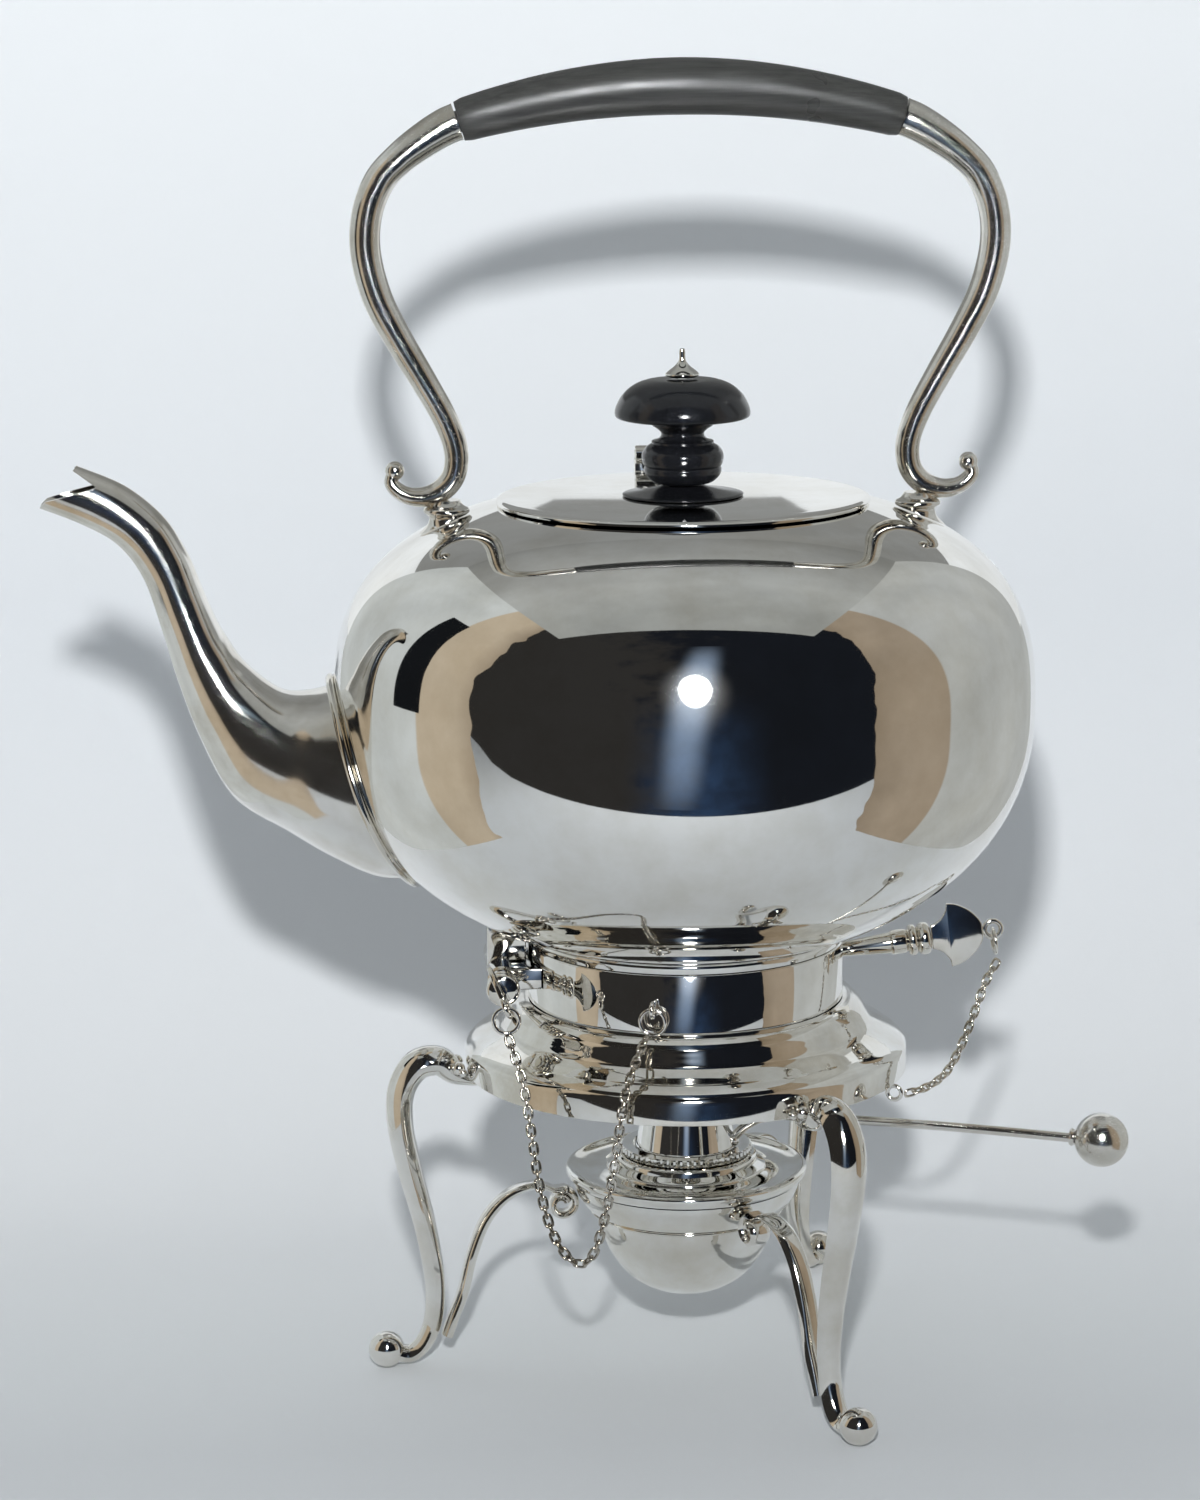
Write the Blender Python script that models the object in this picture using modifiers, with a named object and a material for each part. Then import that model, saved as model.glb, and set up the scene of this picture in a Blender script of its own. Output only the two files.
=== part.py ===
# A tea kettle on a three-legged stand, with its spirit lamp, snuffer and two chained pins.
# Metres, +Z up, the feet on z = 0, the spout along -X. Each sub-part is one named object.
# All shapes are drawn about the kettle's own axis. The frame empty then moves them along X,
# so that the origin lies under the middle of the whole object.

import math

import bmesh
import bpy
from mathutils import Matrix, Vector

for old in list(bpy.data.objects):
    bpy.data.objects.remove(old)

# Fits
GAP = 0.0003
PIN_SLACK = 0.0003
CUT_OVERRUN = 0.004
MERGE_DISTANCE = 0.00001

# Facets round a turn
BIG_SEGMENTS = 28
MIDDLE_SEGMENTS = 18
SMALL_SEGMENTS = 12

# Stand: collar, gallery with its rim band, and lamp ring
COLLAR_RADIUS = 0.0383
COLLAR_WALL = 0.0012
COLLAR_HEIGHT = 0.0139
GALLERY_WALL = 0.0012
GALLERY_REACH = 0.0155
GALLERY_HEIGHT = 0.0177
RIM_BAND_HEIGHT = 0.0051
LAMP_RING_RADIUS = 0.0278
LAMP_RING_DROP = 0.0287
LAMP_RING_DEPTH = 0.0082
LAMP_RING_WALL = 0.0010

# Stand: three cabriole legs, ball feet and the straps that carry the lamp ring
LEG_TURNS = (math.radians(183.5), math.radians(297.5), math.radians(57.5))
LEG_TOP_INSET = 0.0035
FOOT_SPREAD = 0.0208
LEG_HALF_THICKNESS = 0.0037
LEG_HALF_WIDTH = 0.0050
FOOT_BALL_RADIUS = 0.0045
FOOT_FLAT_DEPTH = 0.0003
STRAP_THICKNESS = 0.0028
STRAP_WIDTH = 0.0056
STRAP_ROLL_RADIUS = 0.0032
STRAP_ROLL_DROP = 0.00556
STRAP_FOOT_INSET = 0.0150
STRAP_FOOT_HEIGHT_SHARE = 0.1012

# Kettle body and foot
BODY_RADIUS = 0.0840
BODY_EQUATOR_Z = 0.1645
BODY_RISE = 0.0515
BODY_DROP = 0.0610
BODY_SEAT = 0.0027
BODY_TOP_POWER = 2.7
BODY_BOTTOM_POWER = 2.2
BODY_WALL = 0.0009
LID_MOUTH_RADIUS = 0.0420
STRAINER_HOLE_RADIUS = 0.0022
STRAINER_SPACING = 0.0068
STRAINER_DROP = 0.0165
FOOT_RING_WIDTH = 0.0050
SPIGOT_PLAY = 0.0023
SPIGOT_WALL = 0.0012
SPIGOT_DEPTH = 0.0123
SPIGOT_SLOT_HALF_WIDTH = 0.0021
SPIGOT_SLOT_DROP = 0.0044

# Lid and knob
LID_RADIUS = 0.0446
LID_THICKNESS = 0.0009
LID_LIP_DROP = 0.0006
BEZEL_PLAY = 0.0008
BEZEL_WALL = 0.0010
BEZEL_DEPTH = 0.0040
KNOB_DISC_RADIUS = 0.0144
KNOB_STEM_RADIUS = 0.0097
KNOB_CAP_RADIUS = 0.0161
KNOB_HEIGHT = 0.0275
KNOB_CAP_HEIGHT = 0.0098
KNOB_DISC_HEIGHT = 0.0022
FINIAL_RADIUS = 0.0040
FINIAL_HEIGHT = 0.0068
KNOB_BOLT_RADIUS = 0.0012
KNOB_NUT_RADIUS = 0.0032
KNOB_NUT_HEIGHT = 0.0020

# Lid hinge, behind the lid, axis along X
LID_HINGE_Y = 0.0475
LID_BARREL_RADIUS = 0.0023
LID_BARREL_LENGTH = 0.0160
LID_MIDDLE_KNUCKLE_LENGTH = 0.0056
LID_HINGE_LIFT = 0.0011
LID_LEAF_THICKNESS = 0.0010
LID_LEAF_REACH = 0.0110
LID_PIN_RADIUS = 0.0010

# Handle
GRIP_HALF_SPAN = 0.0521
GRIP_CROWN_RISE = 0.1456
GRIP_END_DROP = 0.0076
GRIP_CROWN_RADIUS = 0.00665
GRIP_END_RADIUS = 0.0050
GRIP_TAPER_POWER = 1.6
TENON_RADIUS = 0.0026
TENON_LENGTH = 0.0050
GRIP_PIN_RADIUS = 0.0008
GRIP_PIN_PROUD = 0.0003
ARM_REACH = 0.0742
ARM_RADIUS = 0.0042
STUB_X = 0.0562
STUB_TOP_RISE = 0.0495
STUB_RADIUS = 0.0072

# Spout
SPOUT_TIP_REACH = 0.1519
SPOUT_TIP_RISE = 0.0582
SPOUT_ROOT_SHARE = 0.808
SPOUT_HALF_WIDTH = 0.0250
SPOUT_WALL = 0.0009
SPOUT_SIDES = 12
SEAM_BEAD_RADIUS = 0.0010
BEAK_NOTCH_DEPTH = 0.0088
BEAK_NOTCH_OPENING = 0.0078

# Front hinge: the kettle tips about this pin, whose axis runs along Y
HINGE_STANDOFF = 0.0069
HINGE_DROP = 0.0062
KNUCKLE_RADIUS = 0.0034
KETTLE_KNUCKLE_LENGTH = 0.0110
STAND_KNUCKLE_LENGTH = 0.0087
HINGE_LEAF_THICKNESS = 0.0050
LUG_WIDTH_SHARE = 0.9

# The two loose pins and their rings
FRONT_SHAFT_RADIUS = 0.0016
REAR_TIP_RADIUS = 0.0015
REAR_SHAFT_RADIUS = 0.0026
REAR_PIN_SLOPE = math.radians(6.4)
REAR_PIN_DROP = 0.0048
REAR_PIN_ENGAGEMENT = 0.0008
REAR_SHAFT_LENGTH = 0.0162
PIN_REEL_RADIUS = 0.0040
PIN_REEL_LENGTH = 0.0100
PIN_PLATE_LENGTH = 0.0130
PIN_PLATE_HALF_HEIGHT = 0.0080
PIN_PLATE_THICKNESS = 0.0012
PIN_EYE_RADIUS = 0.0027
PIN_EYE_HOLE_RADIUS = 0.0014
EYE_OUT_SHARE = 0.8
FRONT_PLATE_ROLL = math.radians(26)
JUMP_RING_RADIUS = 0.0030
JUMP_RING_WIRE_RADIUS = 0.0005
CHAIN_EYE_RADIUS = 0.0017
CHAIN_EYE_WIRE_RADIUS = 0.00055
CHAIN_TUBE_RADIUS = 0.0011
FRONT_EYE_TURN = math.radians(254.5)
FRONT_EYE_DROP = 0.0077
REAR_EYE_TURN = math.radians(-24.5)

# Lamp, burner and snuffer
BOWL_RADIUS = 0.0216
BOWL_BOTTOM_SHARE = 0.355
BOWL_WALL = 0.0009
BOWL_FLAT_RADIUS = 0.0040
FLANGE_RADIUS = 0.0295
FLANGE_WALL = 0.0011
FLANGE_HEIGHT = 0.0059
BURNER_RADIUS = 0.0162
BURNER_HEIGHT = 0.0019
BURNER_RECESS_DEPTH = 0.0009
BURNER_RECESS_RADIUS = 0.0132
WICK_TUBE_RADIUS = 0.0052
WICK_TUBE_WALL = 0.0007
WICK_TUBE_TOP_RISE = 0.0068
WICK_TUBE_DIP = 0.0200
WICK_PROUD = 0.0012
SNUFFER_RADIUS = 0.0124
SNUFFER_TOP_RADIUS = 0.0104
SNUFFER_HEIGHT = 0.0150
SNUFFER_WALL = 0.0009
SNUFFER_TURN = math.radians(-18)
SNUFFER_ROD_RADIUS = 0.00115
SNUFFER_BALL_RADIUS = 0.0065
SNUFFER_BALL_DISTANCE = 0.1020
SNUFFER_ROD_RISE = 0.0090

# Values that follow from those above. The body sits in its stand's collar, which sets the
# stand's levels. The hinge, the pins and the legs keep their places beside the collar.
COLLAR_TOP_Z = BODY_EQUATOR_Z - BODY_DROP + BODY_SEAT
COLLAR_BOTTOM_Z = COLLAR_TOP_Z - COLLAR_HEIGHT
GALLERY_TOP_Z = COLLAR_BOTTOM_Z - GAP
RIM_RADIUS = COLLAR_RADIUS + GALLERY_REACH
RIM_BOTTOM_Z = GALLERY_TOP_Z - GALLERY_HEIGHT
RIM_TOP_Z = RIM_BOTTOM_Z + RIM_BAND_HEIGHT
LEG_TOP_RADIUS = RIM_RADIUS - LEG_TOP_INSET
FOOT_CIRCLE_RADIUS = RIM_RADIUS + FOOT_SPREAD
LAMP_RING_TOP_Z = RIM_BOTTOM_Z - LAMP_RING_DROP
BOWL_BOTTOM_Z = LAMP_RING_TOP_Z * BOWL_BOTTOM_SHARE
TILT_AXIS_X = -(COLLAR_RADIUS + HINGE_STANDOFF)
TILT_AXIS_Z = COLLAR_TOP_Z - HINGE_DROP
STRAINER_Z = BODY_EQUATOR_Z - STRAINER_DROP
SPIGOT_RADIUS = COLLAR_RADIUS - COLLAR_WALL - SPIGOT_PLAY
GRIP_CROWN_Z = BODY_EQUATOR_Z + GRIP_CROWN_RISE
STUB_TOP_Z = BODY_EQUATOR_Z + STUB_TOP_RISE
REAR_PIN_AXIS_Z = COLLAR_TOP_Z - REAR_PIN_DROP
FRONT_EYE_Z = COLLAR_TOP_Z - FRONT_EYE_DROP
FOOT_BOTTOM_Z = COLLAR_TOP_Z + GAP
SPIGOT_BOTTOM_Z = FOOT_BOTTOM_Z - SPIGOT_DEPTH
FLANGE_BOTTOM_Z = LAMP_RING_TOP_Z + GAP
FLANGE_TOP_Z = FLANGE_BOTTOM_Z + FLANGE_HEIGHT
BURNER_BOTTOM_Z = FLANGE_TOP_Z + GAP
BURNER_TOP_Z = BURNER_BOTTOM_Z + BURNER_HEIGHT
BURNER_FLOOR_Z = BURNER_TOP_Z - BURNER_RECESS_DEPTH
WICK_TUBE_TOP_Z = BURNER_FLOOR_Z + WICK_TUBE_TOP_RISE
SNUFFER_BOTTOM_Z = BURNER_FLOOR_Z + GAP
SNUFFER_TOP_Z = SNUFFER_BOTTOM_Z + SNUFFER_HEIGHT
SNUFFER_REACH = SNUFFER_BALL_DISTANCE * math.cos(SNUFFER_TURN) + SNUFFER_BALL_RADIUS
FRAME_SHIFT = (SPOUT_TIP_REACH - SNUFFER_REACH) / 2
REAR_AXIS = Vector((math.cos(REAR_PIN_SLOPE), 0, math.sin(REAR_PIN_SLOPE)))
REAR_TIP = Vector((SPIGOT_RADIUS - REAR_PIN_ENGAGEMENT, 0, REAR_PIN_AXIS_Z))
FRONT_AXIS = Vector((0, -1, 0))
FRONT_SHAFT_LENGTH = KETTLE_KNUCKLE_LENGTH + 2 * (STAND_KNUCKLE_LENGTH + GAP) + 2 * GAP
FRONT_TIP = Vector((TILT_AXIS_X, FRONT_SHAFT_LENGTH / 2, TILT_AXIS_Z))

# Outlines, as shares of the sizes that they follow. Gallery: out from collar to rim, down from
# its top to the rim band.
GALLERY_SHARES = (
    (0.10, 0.99), (0.30, 0.80), (0.45, 0.53), (0.61, 0.37), (0.96, 0.11), (1.0, 0.0),
)
LAMP_RING_SHARES = ((1.0, 1.0), (0.975, 0.62), (0.86, 0.14), (0.845, 0.0))
# Leg: out from top to foot circle, height as a share of the rim's underside, thickness, width.
LEG_SHARES = (
    (0.00, 0.973, 0.41, 0.32), (0.11, 0.974, 0.41, 0.44), (0.27, 0.999, 0.76, 0.64),
    (0.42, 1.040, 0.98, 0.84), (0.64, 1.030, 1.00, 0.96), (0.80, 0.950, 0.92, 1.00),
    (0.82, 0.834, 0.86, 0.98), (0.73, 0.673, 0.81, 0.90), (0.59, 0.485, 0.73, 0.80),
    (0.50, 0.296, 0.68, 0.70), (0.52, 0.162, 0.62, 0.64), (0.62, 0.078, 0.59, 0.64),
    (0.76, 0.041, 0.59, 0.64), (0.90, 0.050, 0.60, 0.60),
)
# Strap: out from the lamp ring to its foot beside the leg, up from its foot to the ring's top,
# thickness share.
STRAP_SHARES = (
    (1.000, 0.000, 1.00), (0.949, 0.122, 1.00), (0.870, 0.294, 1.00), (0.799, 0.533, 1.00),
    (0.685, 0.766, 0.95), (0.514, 0.922, 0.85), (0.307, 0.982, 0.66), (0.157, 0.946, 0.48),
)
ROLL_OUT_SHARE = 0.0713
ROLL_END_SHARE = 0.5
ROLL_THICKNESS_SHARE = 0.44
ROLL_FIRST_TURN = math.radians(100)
LID_SHARES = ((0.30, 1.0), (0.62, 1.0), (0.90, 1.0), (0.985, 1.0))
# Knob stem: radius as a share of its widest, height as a share of the whole stem.
STEM_SHARES = (
    (0.73, 1.00), (0.73, 0.92), (0.53, 0.84), (0.53, 0.79), (0.76, 0.70), (0.76, 0.66),
    (1.00, 0.46), (0.90, 0.29), (0.94, 0.24), (0.50, 0.00),
)
CAP_SHARES = ((0.38, 1.0), (0.68, 0.90), (0.90, 0.62), (1.0, 0.24), (0.80, 0.0))
DISC_SHARES = ((0.34, 1.0), (0.60, 0.62), (0.97, 0.34), (1.0, 0.20), (0.97, 0.0))
FINIAL_SHARES = ((0.0, 1.0), (0.16, 0.74), (0.30, 0.56), (0.56, 0.42), (1.0, 0.26), (1.0, 0.12), (0.75, 0.0))
# Handle arm: out as a share of its reach, up from the body's equator to the crown, radius share.
ARM_SHARES = (
    (0.678, 0.9519, 1.05), (0.740, 0.9402, 1.04), (0.815, 0.9176, 0.98), (0.889, 0.8894, 0.90),
    (0.951, 0.8551, 0.87), (0.992, 0.8036, 0.86), (0.999, 0.7418, 0.86), (0.965, 0.6696, 0.85),
    (0.900, 0.6023, 0.80), (0.828, 0.5385, 0.75), (0.757, 0.4718, 0.71), (0.724, 0.4210, 0.69),
    (0.732, 0.3805, 0.67), (0.775, 0.3547, 0.64), (0.835, 0.3451, 0.56), (0.893, 0.3504, 0.48),
    (0.930, 0.3685, 0.42), (0.920, 0.3887, 0.38),
)
STUB_SHARES = (
    (0.46, 1.0), (0.56, 0.84), (0.72, 0.76), (0.72, 0.66),
    (0.60, 0.58), (0.60, 0.42), (1.0, 0.12), (1.0, 0.0),
)
# Spout: upper and lower edge out from the body's girth and up from its equator, then half width.
SPOUT_SHARES = (
    (-0.140, 0.140, -0.360, -0.700, 1.00),
    (-0.020, 0.100, -0.165, -0.710, 0.98),
    (0.085, 0.072, 0.010, -0.620, 0.88),
    (0.185, 0.082, 0.165, -0.510, 0.72),
    (0.300, 0.190, 0.350, -0.370, 0.56),
    (0.365, 0.300, 0.460, -0.140, 0.45),
    (0.405, 0.390, 0.540, 0.120, 0.37),
    (0.450, 0.520, 0.590, 0.330, 0.31),
    (0.495, 0.655, 0.650, 0.550, 0.275),
    (0.575, 0.805, 0.735, 0.690, 0.255),
    (0.710, 0.925, 0.855, 0.775, 0.235),
    (0.880, 1.000, 1.000, 0.845, 0.210),
)
REEL_SHARES = (
    (0.70, 1.00), (0.98, 0.90), (1.00, 0.76), (0.74, 0.66), (0.96, 0.57), (0.92, 0.47), (0.66, 0.42),
    (0.74, 0.36), (0.74, 0.04), (0.66, 0.00),
)
PLATE_SHARES = (
    (0.00, 0.37), (0.10, 0.42), (0.22, 0.56), (0.31, 0.78), (0.33, 1.00), (0.52, 0.93),
    (0.74, 0.72), (0.90, 0.44), (0.97, 0.22),
)
FLANGE_SHARES = (
    (0.30, 1.00), (0.570, 1.00), (0.640, 0.42), (0.80, 0.26), (0.965, 0.49), (1.0, 0.36), (1.0, 0.20),
    (0.965, 0.00),
)
BOWL_SHARES = (
    (1.00, 1.00), (1.00, 0.72), (0.985, 0.60), (0.93, 0.45), (0.82, 0.30), (0.66, 0.165), (0.46, 0.07),
)
SNUFFER_SHOULDER_SHARE = 0.78
SNUFFER_SHARES = ((0.0, 1.0), (0.55, 0.985), (0.84, 0.93), (0.93, 0.87))
ROD_SHARES = ((0.112, 0.22), (0.150, 0.66), (0.205, 0.97), (0.290, 1.0), (0.640, 0.99), (0.935, 0.90))

# How far each chain hangs from the straight line between its two end rings, in metres, at even
# steps along it in the stored pose
FRONT_CHAIN_HANG = (
    (0.0004, -0.0007, -0.0037), (0.0011, -0.0044, -0.0134), (0.0006, -0.0081, -0.0248),
    (-0.0001, -0.0109, -0.0367), (0.0001, -0.0130, -0.0461), (0.0010, -0.0145, -0.0519),
    (0.0023, -0.0154, -0.0540), (0.0029, -0.0159, -0.0515), (0.0028, -0.0161, -0.0447),
    (0.0024, -0.0161, -0.0361), (0.0016, -0.0158, -0.0270), (0.0006, -0.0153, -0.0187),
    (-0.0004, -0.0133, -0.0130), (-0.0012, -0.0105, -0.0095), (-0.0018, -0.0080, -0.0061),
    (-0.0019, -0.0038, -0.0025),
)
REAR_CHAIN_HANG = (
    (0.0005, -0.0024, -0.0045), (0.0012, -0.0014, -0.0048), (0.0019, -0.0012, -0.0073),
    (0.0022, -0.0020, -0.0094), (0.0021, -0.0034, -0.0100), (0.0020, -0.0039, -0.0076),
    (0.0022, -0.0032, -0.0039), (0.0028, -0.0012, 0.0000),
)

# Bodies that move together, each with a point on its joint's axis
PIVOTS = {
    "stand": Vector((0, 0, 0)),
    "kettle": Vector((TILT_AXIS_X, 0, TILT_AXIS_Z)),
    "lid": Vector((0, LID_HINGE_Y, 0)),
    "front_pin": FRONT_TIP,
    "rear_pin": REAR_TIP,
    "lamp": Vector((0, 0, LAMP_RING_TOP_Z)),
    "burner": Vector((0, 0, BURNER_BOTTOM_Z)),
    "snuffer": Vector((0, 0, SNUFFER_BOTTOM_Z)),
}

parts = bpy.data.collections.new("Spirit kettle on stand")
cutters = bpy.data.collections.new("Cutters")
bpy.context.scene.collection.children.link(parts)
bpy.context.scene.collection.children.link(cutters)
frame = bpy.data.objects.new("frame", None)
frame.location = (FRAME_SHIFT, 0, 0)
parts.objects.link(frame)
anchors = {}


def make_material(name, colour, roughness, metallic):
    material = bpy.data.materials.new(name)
    material.use_nodes = True
    shader = material.node_tree.nodes["Principled BSDF"]
    shader.inputs["Base Color"].default_value = (*colour, 1)
    shader.inputs["Roughness"].default_value = roughness
    shader.inputs["Metallic"].default_value = metallic
    return material


SILVER = make_material("polished silver", (0.88, 0.87, 0.84), 0.05, 1)
SATIN_EBONY = make_material("satin ebony", (0.035, 0.034, 0.034), 0.45, 0)
GLOSS_EBONY = make_material("gloss ebony", (0.010, 0.010, 0.011), 0.12, 0)
WICK_COTTON = make_material("wick cotton", (0.74, 0.70, 0.60), 0.90, 0)


def add_anchor(body, pivot):
    anchor = bpy.data.objects.new(body + "_axis", None)
    anchor.parent = frame
    anchor.location = pivot
    parts.objects.link(anchor)
    anchors[body] = anchor


def place(obj, body, material, at=(0, 0, 0), turn=None):
    """Puts a finished piece in its body, at a point of the kettle's frame."""
    for collection in list(obj.users_collection):
        collection.objects.unlink(obj)
    parts.objects.link(obj)
    obj.parent = anchors[body]
    turned = turn.to_4x4() if turn else Matrix.Identity(4)
    obj.matrix_local = Matrix.Translation(Vector(at) - PIVOTS[body]) @ turned
    obj.data.materials.clear()
    obj.data.materials.append(material)
    return obj


def place_cutter(obj, at=(0, 0, 0), turn=None):
    for collection in list(obj.users_collection):
        collection.objects.unlink(obj)
    cutters.objects.link(obj)
    obj.parent = frame
    obj.matrix_local = Matrix.Translation(Vector(at)) @ (turn.to_4x4() if turn else Matrix.Identity(4))
    obj.hide_render = True
    obj.display_type = "WIRE"
    return obj


def mesh_object(name, builder):
    """Makes an object from a bmesh with its faces turned outward and smooth."""
    mesh = bpy.data.meshes.new(name)
    bmesh.ops.recalc_face_normals(builder, faces=builder.faces)
    builder.to_mesh(mesh)
    builder.free()
    obj = bpy.data.objects.new(name, mesh)
    bpy.context.scene.collection.objects.link(obj)
    return obj


def smooth(obj, degrees=40):
    obj.data.shade_smooth()
    obj.data.set_sharp_from_angle(angle=math.radians(degrees))
    return obj


def turned(name, profile, segments, closed=False):
    """A profile of radius and height, turned about Z. It runs down its outer side."""
    mesh = bpy.data.meshes.new(name)
    edges = [(i, i + 1) for i in range(len(profile) - 1)]
    if closed:
        edges.append((len(profile) - 1, 0))
    mesh.from_pydata([(radius, 0, height) for radius, height in profile], edges, [])
    obj = bpy.data.objects.new(name, mesh)
    bpy.context.scene.collection.objects.link(obj)
    screw = obj.modifiers.new("turn", "SCREW")
    screw.axis = "Z"
    screw.steps = segments
    screw.render_steps = segments
    screw.use_merge_vertices = True
    screw.merge_threshold = MERGE_DISTANCE
    screw.use_smooth_shade = True
    return obj


def offset_inward(points, wall):
    """The same line moved inward, for one that runs down its outer side."""
    moved = []
    for index, point in enumerate(points):
        before = Vector(points[max(index - 1, 0)])
        after = Vector(points[min(index + 1, len(points) - 1)])
        here = Vector(point)
        along_in = (here - before).normalized() if index else (after - here).normalized()
        along_out = (after - here).normalized() if index < len(points) - 1 else along_in
        along = (along_in + along_out).normalized()
        outward = Vector((-along.y, along.x))
        stretch = max(along.dot(along_in), 0.6)
        moved.append(here - outward * (wall / stretch))
    return [(max(p.x, 0), p.y) for p in moved]


def sheet_profile(outer, wall):
    """A closed outline of even wall from the outer line, top to bottom."""
    return list(outer) + list(reversed(offset_inward(outer, wall)))


def vessel_profile(outer, wall):
    """For a vessel that is closed on the axis below: up its inside, down its outside."""
    inner = offset_inward(outer, wall)
    inner[-1] = (0, inner[-1][1])
    return list(reversed(inner)) + list(outer)


def scaled(shares, size, base, height):
    return [(radius * size, base + rise * height) for radius, rise in shares]


def bored(outer, bore):
    """A closed outline between an outer line, top to bottom, and a straight bore."""
    return list(outer) + [(bore, outer[-1][1]), (bore, outer[0][1])]


def smooth_line(points, count):
    """Catmull-Rom points through the given ones, evenly in their numbering."""
    line = []
    last = len(points) - 1
    for step in range(count):
        place_on_line = step * last / (count - 1)
        index = min(int(place_on_line), last - 1)
        t = place_on_line - index
        p0, p1 = points[max(index - 1, 0)], points[index]
        p2, p3 = points[index + 1], points[min(index + 2, last)]
        line.append(tuple(
            0.5 * (2 * b + (c - a) * t + (2 * a - 5 * b + 4 * c - d) * t * t
                   + (3 * b - a - 3 * c + d) * t ** 3)
            for a, b, c, d in zip(p0, p1, p2, p3)
        ))
    return line


def tube(name, points, radii, resolution=2):
    """A round wire or rod through the points, with its own radius at each."""
    curve = bpy.data.curves.new(name, "CURVE")
    curve.dimensions = "3D"
    curve.bevel_depth = 1
    curve.bevel_resolution = resolution
    curve.use_fill_caps = True
    spline = curve.splines.new("POLY")
    spline.points.add(len(points) - 1)
    for control, point, radius in zip(spline.points, points, radii):
        control.co = (*point, 1)
        control.radius = radius
    obj = bpy.data.objects.new(name, curve)
    bpy.context.scene.collection.objects.link(obj)
    return obj


def to_mesh(obj):
    """Turns a curve object into a welded mesh object of the same name."""
    name = obj.name
    depsgraph = bpy.context.evaluated_depsgraph_get()
    mesh = bpy.data.meshes.new_from_object(obj.evaluated_get(depsgraph))
    builder = bmesh.new()
    builder.from_mesh(mesh)
    bmesh.ops.remove_doubles(builder, verts=builder.verts, dist=MERGE_DISTANCE)
    bmesh.ops.recalc_face_normals(builder, faces=builder.faces)
    builder.to_mesh(mesh)
    builder.free()
    matrix = obj.matrix_world.copy()
    bpy.data.objects.remove(obj)
    solid = bpy.data.objects.new(name, mesh)
    solid.matrix_world = matrix
    bpy.context.scene.collection.objects.link(solid)
    return solid


def outline_plate(name, outer, holes, thickness):
    """A flat plate from a closed outline with round holes, in its own XY plane."""
    curve = bpy.data.curves.new(name, "CURVE")
    curve.dimensions = "2D"
    curve.fill_mode = "BOTH"
    curve.extrude = thickness / 2
    for loop in [outer] + holes:
        spline = curve.splines.new("POLY")
        spline.points.add(len(loop) - 1)
        spline.use_cyclic_u = True
        for control, (x, y) in zip(spline.points, loop):
            control.co = (x, y, 0, 1)
    obj = bpy.data.objects.new(name, curve)
    bpy.context.scene.collection.objects.link(obj)
    return to_mesh(obj)


def circle_points(radius, count, centre=(0, 0)):
    turns = [2 * math.pi * i / count for i in range(count)]
    return [(centre[0] + radius * math.cos(t), centre[1] + radius * math.sin(t)) for t in turns]


def box(name, low, high):
    builder = bmesh.new()
    bmesh.ops.create_cube(builder, size=1)
    size = Vector(high) - Vector(low)
    centre = (Vector(high) + Vector(low)) / 2
    fitted = Matrix.Translation(centre) @ Matrix.Diagonal(size.to_4d())
    bmesh.ops.transform(builder, verts=builder.verts, matrix=fitted)
    return mesh_object(name, builder)


def cylinder(name, radius, length, segments):
    """A cylinder along Z, centred on its own origin."""
    builder = bmesh.new()
    bmesh.ops.create_cone(
        builder, cap_ends=True, segments=segments, radius1=radius, radius2=radius, depth=length
    )
    return mesh_object(name, builder)


def ball(name, radius, around, up):
    builder = bmesh.new()
    bmesh.ops.create_uvsphere(builder, u_segments=around, v_segments=up, radius=radius)
    return smooth(mesh_object(name, builder), 60)


def wire_ring(name, radius, wire_radius):
    """A ring of round wire, its axis along Z."""
    profile = circle_points(wire_radius, 6, (radius, 0))
    return turned(name, list(reversed(profile)), SMALL_SEGMENTS, closed=True)


def boolean(obj, other, operation="DIFFERENCE"):
    cut = obj.modifiers.new(operation.lower(), "BOOLEAN")
    cut.operation = operation
    cut.object = other
    cut.solver = "EXACT"
    return obj


def turn_to(direction):
    """The turn that takes +Z to a direction."""
    return Vector((0, 0, 1)).rotation_difference(Vector(direction).normalized()).to_matrix()


def radial(turn, radius, height):
    return Vector((radius * math.cos(turn), radius * math.sin(turn), height))


def loft(name, rings, capped=True):
    """Joins rings of equal length, in order, with faces between them."""
    builder = bmesh.new()
    loops = [[builder.verts.new(point) for point in ring] for ring in rings]
    count = len(loops[0])
    for first, second in zip(loops, loops[1:]):
        for i in range(count):
            j = (i + 1) % count
            builder.faces.new((first[i], first[j], second[j], second[i]))
    if capped:
        builder.faces.new(loops[0])
        builder.faces.new(loops[-1])
    return mesh_object(name, builder)


def sweep_in_plane(name, stations, turn, section):
    """Sweeps a section along radius and height stations in the upright plane at a turn.

    A station is radius, height, half thickness in the plane and half width across it. The
    section is a list of shares of those two halves."""
    across = Vector((-math.sin(turn), math.cos(turn), 0))
    rings = []
    for index, (radius, height, half_thickness, half_width) in enumerate(stations):
        before = stations[max(index - 1, 0)]
        after = stations[min(index + 1, len(stations) - 1)]
        along = Vector((after[0] - before[0], after[1] - before[1])).normalized()
        outward = radial(turn, along.y, -along.x)
        centre = radial(turn, radius, height)
        rings.append([centre + outward * u * half_thickness + across * v * half_width for u, v in section])
    return loft(name, rings)


def body_top_z(radius, grow=0):
    power = BODY_TOP_POWER
    share = max(1 - (radius / (BODY_RADIUS + grow)) ** power, 0)
    return BODY_EQUATOR_Z + (BODY_RISE + grow) * share ** (1 / power)


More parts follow.
